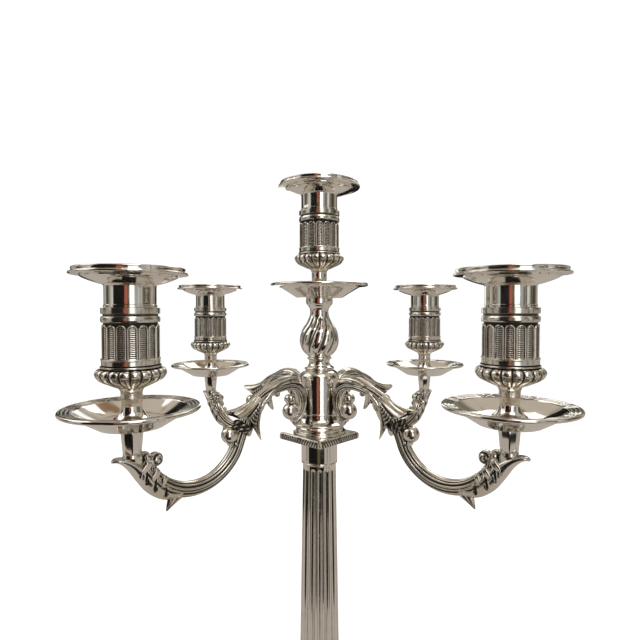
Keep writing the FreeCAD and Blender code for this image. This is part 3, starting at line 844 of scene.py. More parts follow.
@dataclass
class Bench:
    """Places finished meshes in the frame, on their bodies, in place of the CAD nodes."""

    finishes: Finishes

    def place(self, mesh: bpy.types.Mesh, node: str, body: str, slot: Slot, finish: Silver,
              at: Vector, turn: float = 0.0) -> None:
        """Puts a piece in the frame in place of a CAD node.

        Args:
            mesh: the piece in metres, about its own origin.
            node: the CAD node that it stands for; the piece takes its name.
            body: the CAD body that it rides on.
            slot: the record's material slot; not used.
            finish: its silver.
            at: where its origin goes.
            turn: turn about +Z in degrees.
        """
        piece = bpy.data.objects.new(f"{node}_piece", mesh)
        bpy.context.scene.collection.objects.link(piece)
        piece.matrix_world = Matrix.Translation(at) @ Matrix.Rotation(math.radians(turn), 4, "Z")
        mesh.materials.append(self.finishes.silver(finish))
        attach(piece, body)
        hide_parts(node)
        LOG.info("%s: %d faces", piece.name, len(mesh.polygons))

    def dress(self, node: bpy.types.Object, finish: Plain) -> None:
        """Gives a CAD node that stays its own material.

        Args:
            node: the CAD node.
            finish: the finish.
        """
        node.data.materials.clear()
        node.data.materials.append(self.finishes.plain(finish))
        LOG.info("%s keeps its CAD shape", node.name)


# Lights --------------------------------------------------------------------------------------


@dataclass
class Light:
    """One light: drip pan, stem, chased socket and loose nozzle, from the underside of the pan."""

    pan_radius: float = 37.1
    pan_rim: float = 8.4
    border_inner: float = 29.6
    border_outer: float = 35.6
    reed_count: int = 3
    ribbon_count: int = 8
    stem_top: float = 19.9
    socket_radius: float = 14.5
    cup_radius: float = 18.4
    ring_radius: float = 15.2
    socket_top: float = 63.2
    arch_count: int = 16
    gadroon_count: int = 20
    rung_pitch: float = 1.1
    tube_radius: float = 13.6
    tube_top: float = 75.0
    flange_radius: float = 31.3
    rim_top: float = 84.8
    candle_radius: float = 11.75
    candle_floor: float = 44.2

    def _border(self, inner: float, outer: float, underside: float) -> Relief:
        """Reeds round a rim, bound at intervals by crossed ribbons.

        Args:
            inner: where the reeds start, from the axis.
            outer: where they end.
            underside: height below which nothing is chased.

        Returns:
            The relief.
        """
        width = outer - inner
        middle = (inner + outer) / 2
        spacing = TAU * middle / self.ribbon_count

        def relief(angle: Array, across: Array, up: Array) -> tuple[Array, Array]:
            """Height and recess of the border.

            Args:
                angle: angle round the axis of each column of points, in radians.
                across: distance of each row from the axis, in millimetres.
                up: height of each row, in millimetres.

            Returns:
                Height of the relief and depth of the recess at each point.
            """
            window = smooth(inner - 0.1, inner + 0.15, across) * smooth(outer + 0.15, outer - 0.1, across)
            window = window * smooth(underside, underside + 0.2, up)
            reed = bead(saw((across - inner) / width * self.reed_count - 0.5), 0.92)
            around = saw(angle / TAU * self.ribbon_count) * spacing
            along = across - middle
            cross = np.maximum(bead(around - along, 1.5), bead(around + along, 1.5))
            hatch = bead(saw((np.abs(around) - 2.6) / 1.35), 0.85)
            hatch = hatch * (np.abs(around) > 2.0) * (np.abs(around) < 6.0)
            band = np.maximum(cross * (np.abs(around) < 3.2), 0.9 * hatch)
            bound = smooth(6.2, 5.8, np.abs(around))
            height = reed * (1 - bound) + band * bound
            return (0.45 * height - 0.35) * window, np.clip(1 - height, 0, 1) ** 1.3 * window

        return relief

    def pan(self) -> Casting:
        """Drip pan: flat floor, spun cone, step, reeded border and rolled rim.

        Returns:
            The casting.
        """
        r, z = self.pan_radius, self.pan_rim
        outline = Outline([
            Corner(ROD, -1.6), Corner(17.4, -1.6), Corner(18.0, -1.2), Corner(r - 8.6, z - 3.2, 0.05),
            Corner(r - 7.0, z - 2.5),
            Corner(r - 6.6, z - 1.7), Corner(r - 2.6, z - 1.5), Corner(r - 1.2, z - 1.4, 0.85),
            Corner(r - 1.2, z + 1.0), Corner(r - 1.7, z + 0.75, 0, 0.2), Corner(r - 7.4, z + 0.1),
            Corner(r - 7.7, z - 0.5), Corner(r - 8.4, z - 0.9, -0.06), Corner(19.6, 1.75, -0.05),
            Corner(ROD, 1.7)])
        return Casting("pan").turned(outline, 480, self._border(self.border_inner, self.border_outer, z))

    def stem(self) -> Casting:
        """The waisted stem between the pan and the socket.

        Returns:
            The casting.
        """
        top = self.stem_top
        outline = Outline([
            Corner(ROD, 1.7), Corner(10, 1.7), Corner(10, 2.6, 0.3), Corner(9.2, 3.6, -0.33),
            Corner(5.7, top - 7.4), Corner(5.7, top - 3.2, -0.25), Corner(7.4, top), Corner(ROD, top)])
        return Casting("stem").turned(outline, 96)

    def _chasing(self) -> Relief:
        """Ribbed arches round the socket's body and gadroons round its cup.

        Returns:
            The relief.
        """
        low, high = self.stem_top + 16.3, self.socket_top - 8.6
        half = 2.62
        cup_low, cup_high = self.stem_top - 0.2, self.stem_top + 10.2
        pitch = TAU * self.socket_radius / self.arch_count

        def relief(angle: Array, across: Array, up: Array) -> tuple[Array, Array]:
            """Height and recess of the chasing.

            Args:
                angle: angle round the axis of each column of points, in radians.
                across: distance of each row from the axis, in millimetres.
                up: height of each row, in millimetres.

            Returns:
                Height of the relief and depth of the recess at each point.
            """
            outside = across > self.socket_radius - 0.6
            aside = saw(angle / TAU * self.arch_count) * pitch
            crown = high - 0.5 - half
            edge = np.hypot(aside, np.maximum(up - crown, 0)) - half
            in_body = smooth(low - 0.1, low + 0.1, up) * smooth(high + 0.8, high + 0.5, up) * outside
            outline = ridge(edge + 0.42, 0.9)
            gap = smooth(-0.02, 0.2, edge)
            panel = smooth(-0.72, -0.95, edge) * smooth(low + 0.2, low + 0.6, up)
            rung = bead(saw((up - low) / self.rung_pitch + 0.1 * np.sin(aside * 2)), 0.95)
            rung = rung * smooth(-0.75, -1.1, edge)
            body = 0.42 * outline - 0.5 * gap - panel * (0.62 - 0.6 * rung)
            dark = np.maximum(0.8 * gap, panel * (0.62 - 0.54 * rung ** 0.8))
            dark = np.maximum(dark, 0.08 + 0.4 * bead(edge + 0.9, 0.5))
            lobe = saw(angle / TAU * self.gadroon_count) * 2
            share = np.clip((up - cup_low) / (cup_high - cup_low), 0, 1)
            in_cup = smooth(cup_low, cup_low + 0.8, up) * smooth(cup_high + 0.4, cup_high - 0.3, up)
            in_cup = in_cup * (across > 7.0)
            swell = np.sqrt(np.clip(1 - lobe ** 2, 0, 1))
            cup = 1.1 * np.sqrt(share) * (swell - 0.62)
            seam = (1 - swell) ** 1.3
            film = 0.10 + 0.16 * smooth(0.75, 0.2, share)
            height = body * in_body + cup * in_cup
            creases = sum(bead(up - line, 1.0) for line in (cup_high + 0.5, low - 3.9, self.socket_top - 3.9,
                                                             self.socket_top - 8.3))
            recess = dark * in_body + np.maximum(seam, film) * in_cup + 0.9 * np.clip(creases, 0, 1) * outside
            return height, recess

        return relief

    def socket(self) -> Casting:
        """Chased socket: gadrooned cup, bands, ribbed arches and two rings round its mouth.

        Returns:
            The casting.
        """
        base, top = self.stem_top, self.socket_top
        body, ring, cup = self.socket_radius, self.ring_radius, self.cup_radius
        outline = Outline([
            Corner(ROD, base), Corner(7.6, base, 0, 0.4), Corner(cup - 3, base + 3.8, 0.2, 0.4),
            Corner(cup, base + 7.8, 0.3, 0.3), Corner(cup - 1.9, base + 10.2), Corner(cup - 3.6, base + 10.5),
            Corner(ring + 0.3, base + 11.0, 0.7), Corner(ring + 0.3, base + 12.2),
            Corner(body + 0.2, base + 12.4),
            Corner(ring, base + 12.8), Corner(ring, base + 15.0), Corner(ring + 0.1, base + 15.3, 0.6),
            Corner(ring + 0.1, base + 16.0), Corner(body, base + 16.2, 0, 0.17), Corner(body, top - 8.0),
            Corner(ring - 0.2, top - 7.8, 0.25), Corner(ring - 0.2, top - 4.6), Corner(body - 0.3, top - 4.4),
            Corner(body - 0.3, top - 3.4),
            Corner(ring + 0.1, top - 3.1), Corner(ring + 0.1, top), Corner(13, top), Corner(13, 41.5),
            Corner(9.5, 41.5), Corner(9.5, 27), Corner(ROD, 27)], ease=0.16)
        return Casting("socket").turned(outline, self.arch_count * 30, self._chasing())

    def nozzle(self) -> Casting:
        """Loose nozzle: sleeve, tube and a dished flange with a reeded border.

        Returns:
            The casting.
        """
        rim, top, tube = self.flange_radius, self.rim_top, self.tube_radius
        outline = Outline([
            Corner(0.01, 42.4), Corner(12.4, 42.4), Corner(12.92, 43), Corner(12.92, self.socket_top + 0.1),
            Corner(tube + 0.3, self.socket_top + 0.1), Corner(tube + 0.3, self.socket_top + 1.5),
            Corner(tube, self.socket_top + 1.8), Corner(tube, self.tube_top, -0.25),
            Corner(tube + 2, self.tube_top + 1.0, 0.05), Corner(rim - 7.0, top - 5.6),
            Corner(rim - 6.0, top - 4.9),
            Corner(rim - 5.8, top - 4.1), Corner(rim - 1, top - 3.9, 0.7), Corner(rim - 1, top - 2.5),
            Corner(rim - 2.1, top - 2.2), Corner(rim - 2.1, top - 1.2, 0.8), Corner(rim - 2.9, top - 0.1),
            Corner(rim - 3.2, top - 0.4, 0, 0.2), Corner(rim - 6.2, top - 1.4), Corner(rim - 7, top - 2.6),
            Corner(tube + 2.2, self.tube_top + 3), Corner(self.candle_radius + 1, self.tube_top + 1.8, 0.3),
            Corner(self.candle_radius, self.tube_top + 1.2), Corner(self.candle_radius, self.candle_floor),
            Corner(0.01, self.candle_floor)])
        return Casting("nozzle").turned(outline, 400, self._border(rim - 6.2, rim - 3.2, top - 1.7))

    def build(self, bench: Bench) -> None:
        """Makes the four pieces once and places them at every light.

        Args:
            bench: places the finished meshes in the frame.
        """
        pieces = {"pan": (self.pan(), Slot.POLISHED, Finishes.POLISHED),
                  "stem": (self.stem(), Slot.POLISHED, Finishes.POLISHED),
                  "socket": (self.socket(), Slot.CHASED, Finishes.CHASED),
                  "nozzle": (self.nozzle(), Slot.POLISHED, Finishes.POLISHED)}
        for kind, (casting, slot, finish) in pieces.items():
            for side in Side:
                low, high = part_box(f"pan_{side.label}")
                at = Vector(((low.x + high.x) / 2, (low.y + high.y) / 2, low.z))
                body = f"nozzle_{side.label}_body" if kind == "nozzle" else "branch"
                bench.place(casting.mesh(), f"{kind}_{side.label}", body, slot, finish, at, side.turn)


# Arms ----------------------------------------------------------------------------------------


@dataclass
class Arm:
    """One arm: upper scroll with its leaf and calyx, lower scroll, and the post under the pan."""

    ring_centre: tuple[float, float] = (32.4, 25.6)
    ring_radius: float = 13.9
    calyx_mouth: tuple[float, float] = (72.0, 18.1)
    calyx_slope: float = 46.0
    calyx_length: float = 20.0
    bow_centre: tuple[float, float] = (107.4, 19.2)
    bow_radius: float = 33.6
    reach: float = 147.0
    leaf_wrap: float = 0.42
    strands: int = 9
    post_low: float = 14.5
    post_high: float = 31.4
    post_sides: int = 8

    def _arch(self) -> tuple[Array, Array]:
        """The moulded strap from the inner curl over the arch to the calyx.

        Returns:
            The grid of points and their recess.
        """
        ring = arc_stations(self.ring_centre, self.ring_radius, 250, 92,
                            [1.6, 2.5, 3.1, 3.4, 3.6, 3.8], [3.0, 3.8, 4.2, 4.4, 4.5, 4.5])
        reach, height = self.ring_centre
        path = Path([*ring, (reach + 11.6, height + 12.7, 3.9, 4.4), (reach + 21, height + 9.8, 4.1, 4.4),
                     (reach + 29, height + 5.2, 4.4, 4.6), (reach + 33.5, height + 1.6, 4.4, 4.6)], 150)
        strap = mouldings(STRAP)

        def shaded(angle: Array, share: Array, thick: Array) -> tuple[Array, Array]:
            """The strap's mouldings, with painted shade blackening its back where it faces the hub.

            Args:
                angle: angle round the axis of each column of points, in radians.
                share: share of the bar's length at each row.
                thick: half thickness of the bar at each row, in millimetres.

            Returns:
                Height of the relief and depth of the recess at each point.
            """
            rise, recess = strap(angle, share, thick)
            # painted shade: the back of the curl near the hub is darkened as if in shadow
            back = smooth(70, 25, np.degrees(np.abs(saw(angle / TAU) * TAU))) * smooth(0.34, 0.2, share)
            return rise, np.maximum(recess, 0.6 * back)

        return swept(path, 96, shaded)

    def _crest(self, stations: Sequence[tuple[float, float, float, float]]) -> tuple[Array, Array]:
        """A long leaf laid on a strap's back, veined along its length, with a lifted tip.

        Args:
            stations: the leaf's spine, with half thickness and half width.

        Returns:
            The grid of points and their recess.
        """
        point, tangent, thick, wide, share = Path(stations, 100).sampled()
        angle = np.linspace(0, TAU, 72, endpoint=False)[None, :]
        across = np.sin(angle)
        edge = np.abs(across)
        top = np.cos(angle) > -0.05
        fan = edge * (3.2 - 0.8 * share)
        groove = np.exp(-(saw(fan - 0.5) / 0.13) ** 2) * smooth(0.03, 0.15, share) * smooth(1.0, 0.8, share)
        hem = 1 - 0.16 * np.abs(np.sin(math.pi * share * 4.5)) * edge ** 3
        lift = np.where(top, thick * np.sqrt(np.clip(1 - edge ** 3, 0, 1)) - 0.42 * groove, -0.5 * thick)
        up = lift - self.leaf_wrap * wide * edge ** 2
        outer = np.stack([-tangent[:, 1], tangent[:, 0]], axis=1)
        grid = np.stack([point[:, :1] + outer[:, :1] * up, across * wide * hem,
                         point[:, 1:] + outer[:, 1:] * up], axis=2)
        return grid, np.where(top, 0.5 * groove, 0.8)

    def _calyx(self) -> tuple[Array, Array]:
        """The bell of four long petals that the arch opens into, hollow at its mouth.

        Returns:
            The grid of points and their recess.
        """
        slope = math.radians(self.calyx_slope)
        axis = np.array([math.cos(slope), -math.sin(slope)])
        side = np.array([math.sin(slope), math.cos(slope)])
        length = self.calyx_length
        flare = np.linspace(0, 1, 56)[:, None]
        angle = np.linspace(0, TAU, 144, endpoint=False)[None, :]
        petal = np.abs(np.sin(2 * angle)) ** 0.55
        cheek = np.degrees(np.abs(saw(angle / TAU * 2 + 0.5) / 2 * TAU))
        rib = np.exp(-(cheek / 13) ** 2)
        hem = length * (0.84 + 0.24 * petal ** 2 + 0.04 * rib)
        inner = 1 - 0.7 * flare[1:]
        along = np.concatenate([flare * hem, inner * hem])
        where = along / length
        spread = (0.5 + 7.6 * petal) * where ** 2.2
        outside = np.concatenate([np.ones_like(flare), np.zeros_like(flare[1:])])
        wall = np.concatenate([0 * flare, np.minimum(0.25 + 3 * flare[1:], 1.0)])
        seam = np.exp(-((cheek - 17) / 4.5) ** 2) + np.exp(-((cheek - 90) / 5) ** 2)
        seam = seam * smooth(0.08, 0.3, where)
        hatch = np.abs(np.sin(where * 26 + cheek / 9)) * rib * smooth(0.15, 0.35, where)
        stalk = 4.9 + 2.4 * where - wall - 1.2 * seam * outside
        stalk = stalk + (0.9 * rib - 0.4 * hatch) * outside * smooth(0.1, 0.3, where)
        centre = np.array(self.calyx_mouth) - axis * length
        base = centre[None, None, :] + axis[None, None, :] * along[:, :, None]
        upright = np.sign(np.cos(angle)) * np.abs(np.cos(angle)) ** (1 - 0.5 * np.clip(where, 0, 1))
        flat = base + (upright * (stalk + spread))[..., None] * side[None, None, :]
        grid = np.stack([flat[..., 0], np.sin(angle) * (0.9 * stalk + 0.45 * spread), flat[..., 1]], axis=2)
        deep = smooth(0.97, 0.72, where / (hem / length))
        recess = np.where(outside > 0, np.maximum(0.9 * seam, 0.55 * hatch), 0.9 * deep)
        return grid, recess

    def _fringe(self) -> list[tuple[Array, Array]]:
        """Short leaf tips lying from the strap's cheeks onto the calyx.

        Returns:
            The grid of points and the recess of each part.
        """
        parts = []
        reach, height = self.ring_centre
        for hand in (-1, 1):
            for along, drop, lift in ((17.5, 11.8, 1.6), (20.5, 9.2, 0.6), (23.0, 6.4, -0.4)):
                tip = Path([(reach + along - 4.5, height + drop + 1.8, 0.5, 0.5),
                            (reach + along, height + drop, 1.25, 0.9),
                            (reach + along + 5, height + drop - 4.6 + lift * 0.3, 1.15, 0.8),
                            (reach + along + 8.6, height + drop - 9.2 + lift * 0.4, 0.2, 0.2)], 30)
                grid, recess = swept(tip, 20, mouldings(((0, 22, 0.3), (180, 22, 0.3))))
                grid[..., 1] += hand * (4.6 - 0.2 * along / 20)
                parts.append((grid, 0.7 * recess))
        return parts

    def _collar(self, advance: float, radius: float, thick: float) -> tuple[Array, Array]:
        """A roped ring round the strap just outside the calyx's mouth.

        Args:
            advance: distance past the calyx's mouth along its axis.
            radius: radius of the ring's centreline.
            thick: half thickness of the ring.

        Returns:
            The grid of points and their recess.
        """
        slope = math.radians(self.calyx_slope + 6)
        axis = np.array([math.cos(slope), -math.sin(slope)])
        side = np.array([math.sin(slope), math.cos(slope)])
        centre = np.array(self.calyx_mouth) + axis * advance
        ring = np.linspace(0, TAU, 120, endpoint=False)[:, None]
        tube = np.linspace(0, TAU, 20, endpoint=False)[None, :]
        strand = np.abs(np.sin((ring * self.strands + 2 * tube) / 2))
        size = thick * (0.82 + 0.22 * strand)
        far = radius + size * np.cos(tube)
        flat = (centre + np.cos(ring)[..., None] * side * far[..., None]
                + axis * (size * np.sin(tube))[..., None])
        grid = np.stack([flat[..., 0], np.sin(ring) * far, flat[..., 1]], axis=2)
        recess = 0.25 + 0.75 * (1 - strand) ** 1.2
        return np.concatenate([grid, grid[:1]]), np.concatenate([recess, recess[:1]])

    def upper_scroll(self) -> Casting:
        """Inner curl, arch with its acanthus leaf, buds and calyx.

        Returns:
            The casting.
        """
        reach, height = self.ring_centre
        casting = Casting("upper_scroll")
        casting.skin(*self._arch(), ends=True)
        casting.skin(*spiral_ball((reach - 3.0, height - 5.4), 6.2, 5.7, groove=0), ends=True)
        casting.skin(*spiral_ball((reach - 2.2, height + 3.4), 3.8, 4.4, 1.0, 160, 0.7), ends=True)
        casting.skin(*spiral_ball((reach + 10.2, height + 8.6), 2.0, 2.6, 0.8, 0, 0.3), ends=True)
        casting.skin(*spiral_ball((reach + 18.6, height + 5.2), 2.5, 3.2, 0.8, 0, 0.3), ends=True)
        leaf = [(17.2, 35.6, 0.4, 3.2), (19.6, 39.2, 1.3, 4.6), (25, 42.8, 2.0, 5.2), (32, 43.9, 2.2, 5.2),
                (40, 43.2, 2.0, 4.9), (47.5, 40.6, 1.6, 4.3), (52.8, 38.5, 1.3, 3.6), (57.0, 36.8, 1.0, 2.8),
                (60.2, 36.0, 0.7, 1.8), (62.2, 35.9, 0.3, 0.7)]
        casting.skin(*self._crest(leaf), ends=True)
        casting.skin(*self._calyx(), ends=True)
        for part in self._fringe():
            casting.skin(*part, ends=True)
        return casting

    def _bow(self) -> tuple[Array, Array]:
        """The moulded strap of the lower scroll.

        Returns:
            The grid of points and their recess.
        """
        mouth = self.calyx_mouth
        bow = arc_stations(self.bow_centre, self.bow_radius, 196, 326,
                           [4.5, 4.5, 4.5, 4.6, 4.7, 4.7, 4.5, 3.9], [4.6, 4.7, 4.8, 4.9, 5.0, 5.0, 4.8, 4.3])
        stations = [(mouth[0] - 2.5, mouth[1] + 4.2, 4.2, 4.2), *bow, (136.8, 5.6, 3.2, 4.0),
                    (136.6, 9.4, 2.6, 3.6)]
        return swept(Path(stations, 180), 96, mouldings(STRAP))

    @staticmethod
    def _hull(angle: Array, share: Array, thick: Array) -> tuple[Array, Array]:
        """Slanting clefts up the cheeks of the big leaf, and a hollow along the top of its tip.

        Args:
            angle: angle round the axis of each column of points, in radians.
            share: share of the bar's length at each row.
            thick: half thickness of the bar at each row, in millimetres.

        Returns:
            Height of the relief and depth of the recess at each point.
        """
        cheek = np.abs(saw(angle / TAU + 0.5) * TAU)
        dark = np.zeros_like(cheek * share)
        for place, lean in ((0.30, 0.05), (0.47, 0.07), (0.62, 0.09)):
            line = share - place - lean * (cheek - 1.7)
            dark = np.maximum(dark, np.exp(-(line / 0.016) ** 2) * smooth(0.75, 1.25, cheek))
        edge = np.exp(-((cheek - 1.75) / 0.10) ** 2) * smooth(0.08, 0.2, share) * smooth(0.70, 0.62, share)
        hollow = smooth(2.2, 2.9, cheek) * smooth(0.72, 0.85, share) * smooth(1.0, 0.93, share)
        cut = 1.2 * dark + 0.7 * edge + 0.35 * thick * hollow
        return -cut, np.maximum(np.maximum(dark, 0.8 * edge), 0.25 * hollow)

    def _sheath(self) -> list[tuple[Array, Array]]:
        """The big leaf that sheathes the bow's end, with its curled lobes and the spike below.

        Returns:
            The grid of points and the recess of each part.
        """
        leaf = [(115.0, -14.2, 2.0, 3.4), (121.0, -13.6, 3.3, 4.6), (127.0, -11.6, 4.7, 5.4),
                (131.6, -8.4, 5.3, 5.9), (135.8, -4.4, 5.5, 6.1), (139.7, 0.2, 5.1, 6.1),
                (143.2, 4.7, 4.7, 5.9), (146.7, 8.2, 3.8, 5.6), (150.2, 10.7, 2.9, 5.0),
                (153.5, 12.2, 2.0, 4.1), (156.3, 12.7, 1.3, 2.9), (158.4, 12.3, 0.7, 1.2)]
        parts = [swept(Path(leaf, 130), 96, self._hull)]
        spike = [(121.2, -15.0, 5.2, 2.2), (123.6, -18.2, 3.2, 1.9), (125.6, -21.0, 1.6, 1.2),
                 (127.0, -23.3, 0.3, 0.3)]
        parts.append(swept(Path(spike, 40), 48, mouldings(((70, 8, 0.45), (110, 8, 0.45)))))
        knobs = ((130.6, -2.6, 2.5, -0.4, 3.4), (135.4, 2.2, 2.9, 0.6, 3.9), (140.6, 7.6, 3.1, 1.2, 4.3))
        for reach, height, size, lean, depth in knobs:
            for hand in (-1, 1):
                knob = Path([(reach - 0.9, height + size * 0.95, size * 0.25, size * 0.2),
                             (reach - 0.5, height + size * 0.7, size * 0.62, size * 0.5),
                             (reach, height, size * 0.85, size * 0.62),
                             (reach + lean + 1.2, height - depth * 0.6, size * 0.75, size * 0.5),
                             (reach + lean + 2.6, height - depth * 1.5, size * 0.3, size * 0.2)], 34)
                grid, recess = swept(knob, 28, mouldings(((180, 30, 0.3),)))
                grid[..., 1] += hand * 4.6
                parts.append((grid, 0.6 * recess))
        return parts

    def _seat(self) -> tuple[Array, Array]:
        """The boss that the post stands in, darkened evenly all over as painted shade round the post's foot.

        Returns:
            The grid of points and their recess.
        """
        path = Path([(self.reach - 3.0, 8.0, 3.6, 4.2), (self.reach - 1.6, 10.5, 4.6, 4.8),
                     (self.reach - 0.2, 13.0, 5.3, 5.3), (self.reach, 15.2, 4.9, 4.9)], 14)
        # painted shade: an even recess of 0.12 darkens the whole boss like the shadow round the post's foot
        return swept(path, 40, lambda angle, share, thick: (0 * angle * share, 0.12 + 0 * angle * share))

    def lower_scroll(self) -> Casting:
        """Collars, bow, volutes, sheath leaf and spike.

        Returns:
            The casting.
        """
        casting = Casting("lower_scroll")
        casting.skin(*self._bow(), ends=True)
        casting.skin(*self._collar(1.4, 4.6, 1.9))
        casting.skin(*self._collar(4.4, 4.4, 1.6))
        casting.skin(*spiral_ball((82.6, 12.9), 5.5, 5.3, groove=0), ends=True)
        casting.skin(*spiral_ball((80.6, 7.0), 2.6, 5.1, 0.8, 120, 0.6), ends=True)
        casting.skin(*spiral_ball((133.6, 8.8), 4.1, 4.6, 1.1, 320, 0.7), ends=True)
        casting.skin(*spiral_ball((139.6, 11.4), 3.0, 5.0, 0.9, 320, 0.35), ends=True)
        for part in self._sheath():
            casting.skin(*part, ends=True)
        casting.skin(*self._seat(), ends=True)
        return casting

    def post(self) -> Casting:
        """The tapering eight-sided post, its edges slightly rounded.

        Returns:
            The casting.
        """
        heights = np.array([self.post_low, self.post_low + 0.3, self.post_high - 0.3, self.post_high])
        sizes = np.array([4.7, 4.95, 6.35, 6.25])
        side = TAU / self.post_sides
        turn = np.linspace(0, TAU, self.post_sides * 12, endpoint=False)
        local = saw(turn / side) * side
        flat = math.cos(side / 2) / np.cos(local)
        size = np.minimum(flat, 0.99)[None, :] * sizes[:, None]
        grid = np.stack([self.reach + size * np.cos(turn), size * np.sin(turn),
                         heights[:, None] + 0 * size], axis=2)
        return Casting("post").skin(grid, None, ends=True)

    def build(self, bench: Bench) -> None:
        """Makes the three pieces once and places them on every side.

        Args:
            bench: places the finished meshes in the frame.
        """
        origin = Vector((0, 0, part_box("abacus")[1].z))
        pieces = {"upper_scroll": (self.upper_scroll(), Slot.CHASED, Finishes.CHASED),
                  "lower_scroll": (self.lower_scroll(), Slot.CHASED, Finishes.CHASED),
                  "post": (self.post(), Slot.POLISHED, Finishes.POLISHED)}
        for kind, (casting, slot, finish) in pieces.items():
            for side in ARMS:
                bench.place(casting.mesh(), f"{kind}_{side.label}", "branch", slot, finish, origin, side.turn)


# Centre of the branch ------------------------------------------------------------------------


@dataclass
class Centre:
    """Hub, waist, spirally fluted pear and knop, from the top of the abacus."""

    hub_radius: float = 15.0
    pear_lobes: int = 10
    pear_twist: float = 0.9
    pear_low: float = 57.8
    pear_high: float = 89.5

    def hub_foot(self) -> Casting:
        """The flared foot that stands on the abacus.

        Returns:
            The casting.
        """
        return Casting("hub_foot").turned(Outline([
            Corner(ROD, 0.1), Corner(19.5, 0.1, 0.5), Corner(19.5, 1.9), Corner(18.2, 2.3, -0.4),
            Corner(18.4, 4.6), Corner(20.2, 6.4, 0.6), Corner(20.2, 8.4), Corner(19.0, 8.9, -0.28),
            Corner(15.2, 15), Corner(ROD, 15)]), 160)

    def hub_body(self) -> Casting:
        """The plain round hub with its domed shoulder.

        Returns:
            The casting.
        """
        r = self.hub_radius
        return Casting("hub_body").turned(Outline([
            Corner(ROD, 15), Corner(r + 0.25, 15, 0.4), Corner(r + 0.25, 16), Corner(r, 16.2),
            Corner(r, 42.3, 0.3),
            Corner(r - 4.4, 47.5), Corner(ROD, 47.5)]), 160)

    def waist(self) -> Casting:
        """The ring, hollow and bead under the pear.

        Returns:
            The casting.
        """
        return Casting("baluster_foot").turned(Outline([
            Corner(ROD, 47.5), Corner(10.4, 47.5, 0.6), Corner(10.4, 50.1), Corner(9.6, 50.4, -0.38),
            Corner(8.0, 55.2), Corner(8.5, 55.6, 0.8), Corner(8.5, 57.4), Corner(8.0, 57.8),
            Corner(ROD, 57.8)]), 120)

    def _spiral(self, angle: Array, across: Array, up: Array) -> tuple[Array, Array]:
        """Twisted lobes round the pear, with sharp valleys.

        Args:
            angle: angle round the axis of each column of points, in radians.
            across: distance of each row from the axis, in millimetres.
            up: height of each row, in millimetres.

        Returns:
            Height of the relief and depth of the recess at each point.
        """
        share = (up - self.pear_low) / (self.pear_high - self.pear_low)
        twist = self.pear_twist * np.clip(share, 0, 1)
        lobe = saw((angle - twist) / TAU * self.pear_lobes) * 2
        swell = np.sqrt(np.clip(1 - lobe ** 2, 0, 1))
        window = smooth(0.02, 0.16, share) * smooth(0.97, 0.88, share) * (across > 5)
        depth = 0.11 * across
        return depth * (swell - 0.8) * window, (1 - swell) ** 1.3 * window

    def pear(self) -> Casting:
        """The spirally fluted pear.

        Returns:
            The casting.
        """
        low, high = self.pear_low, self.pear_high
        return Casting("baluster").turned(Outline([
            Corner(ROD, low), Corner(8.2, low, 0.26, 0.6), Corner(14.6, low + 13.2, 0.16, 0.6),
            Corner(11.3, low + 22.7, -0.13, 0.8), Corner(7.2, high), Corner(ROD, high)]), 240, self._spiral)

    def knop(self) -> Casting:
        """The neck and the plain round knop under the centre pan.

        Returns:
            The casting.
        """
        low = self.pear_high
        return Casting("baluster_knop").turned(Outline([
            Corner(ROD, low), Corner(7.15, low, -0.12), Corner(7.3, low + 4.2, -0.12), Corner(9.4, low + 7.2),
            Corner(9.9, low + 8.0, 0.12), Corner(9.9, low + 13.0), Corner(9.3, low + 14.2),
            Corner(ROD, low + 14.2)]), 120)

    def build(self, bench: Bench) -> None:
        """Makes and places the centre pieces.

        Args:
            bench: places the finished meshes in the frame.
        """
        origin = Vector((0, 0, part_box("abacus")[1].z))
        for node, casting in (("hub_foot", self.hub_foot()), ("hub_body", self.hub_body()),
                              ("baluster_foot", self.waist()), ("baluster", self.pear()),
                              ("baluster_knop", self.knop())):
            bench.place(casting.mesh(), node, "branch", Slot.POLISHED, Finishes.POLISHED, origin)


# Stand ---------------------------------------------------------------------------------------


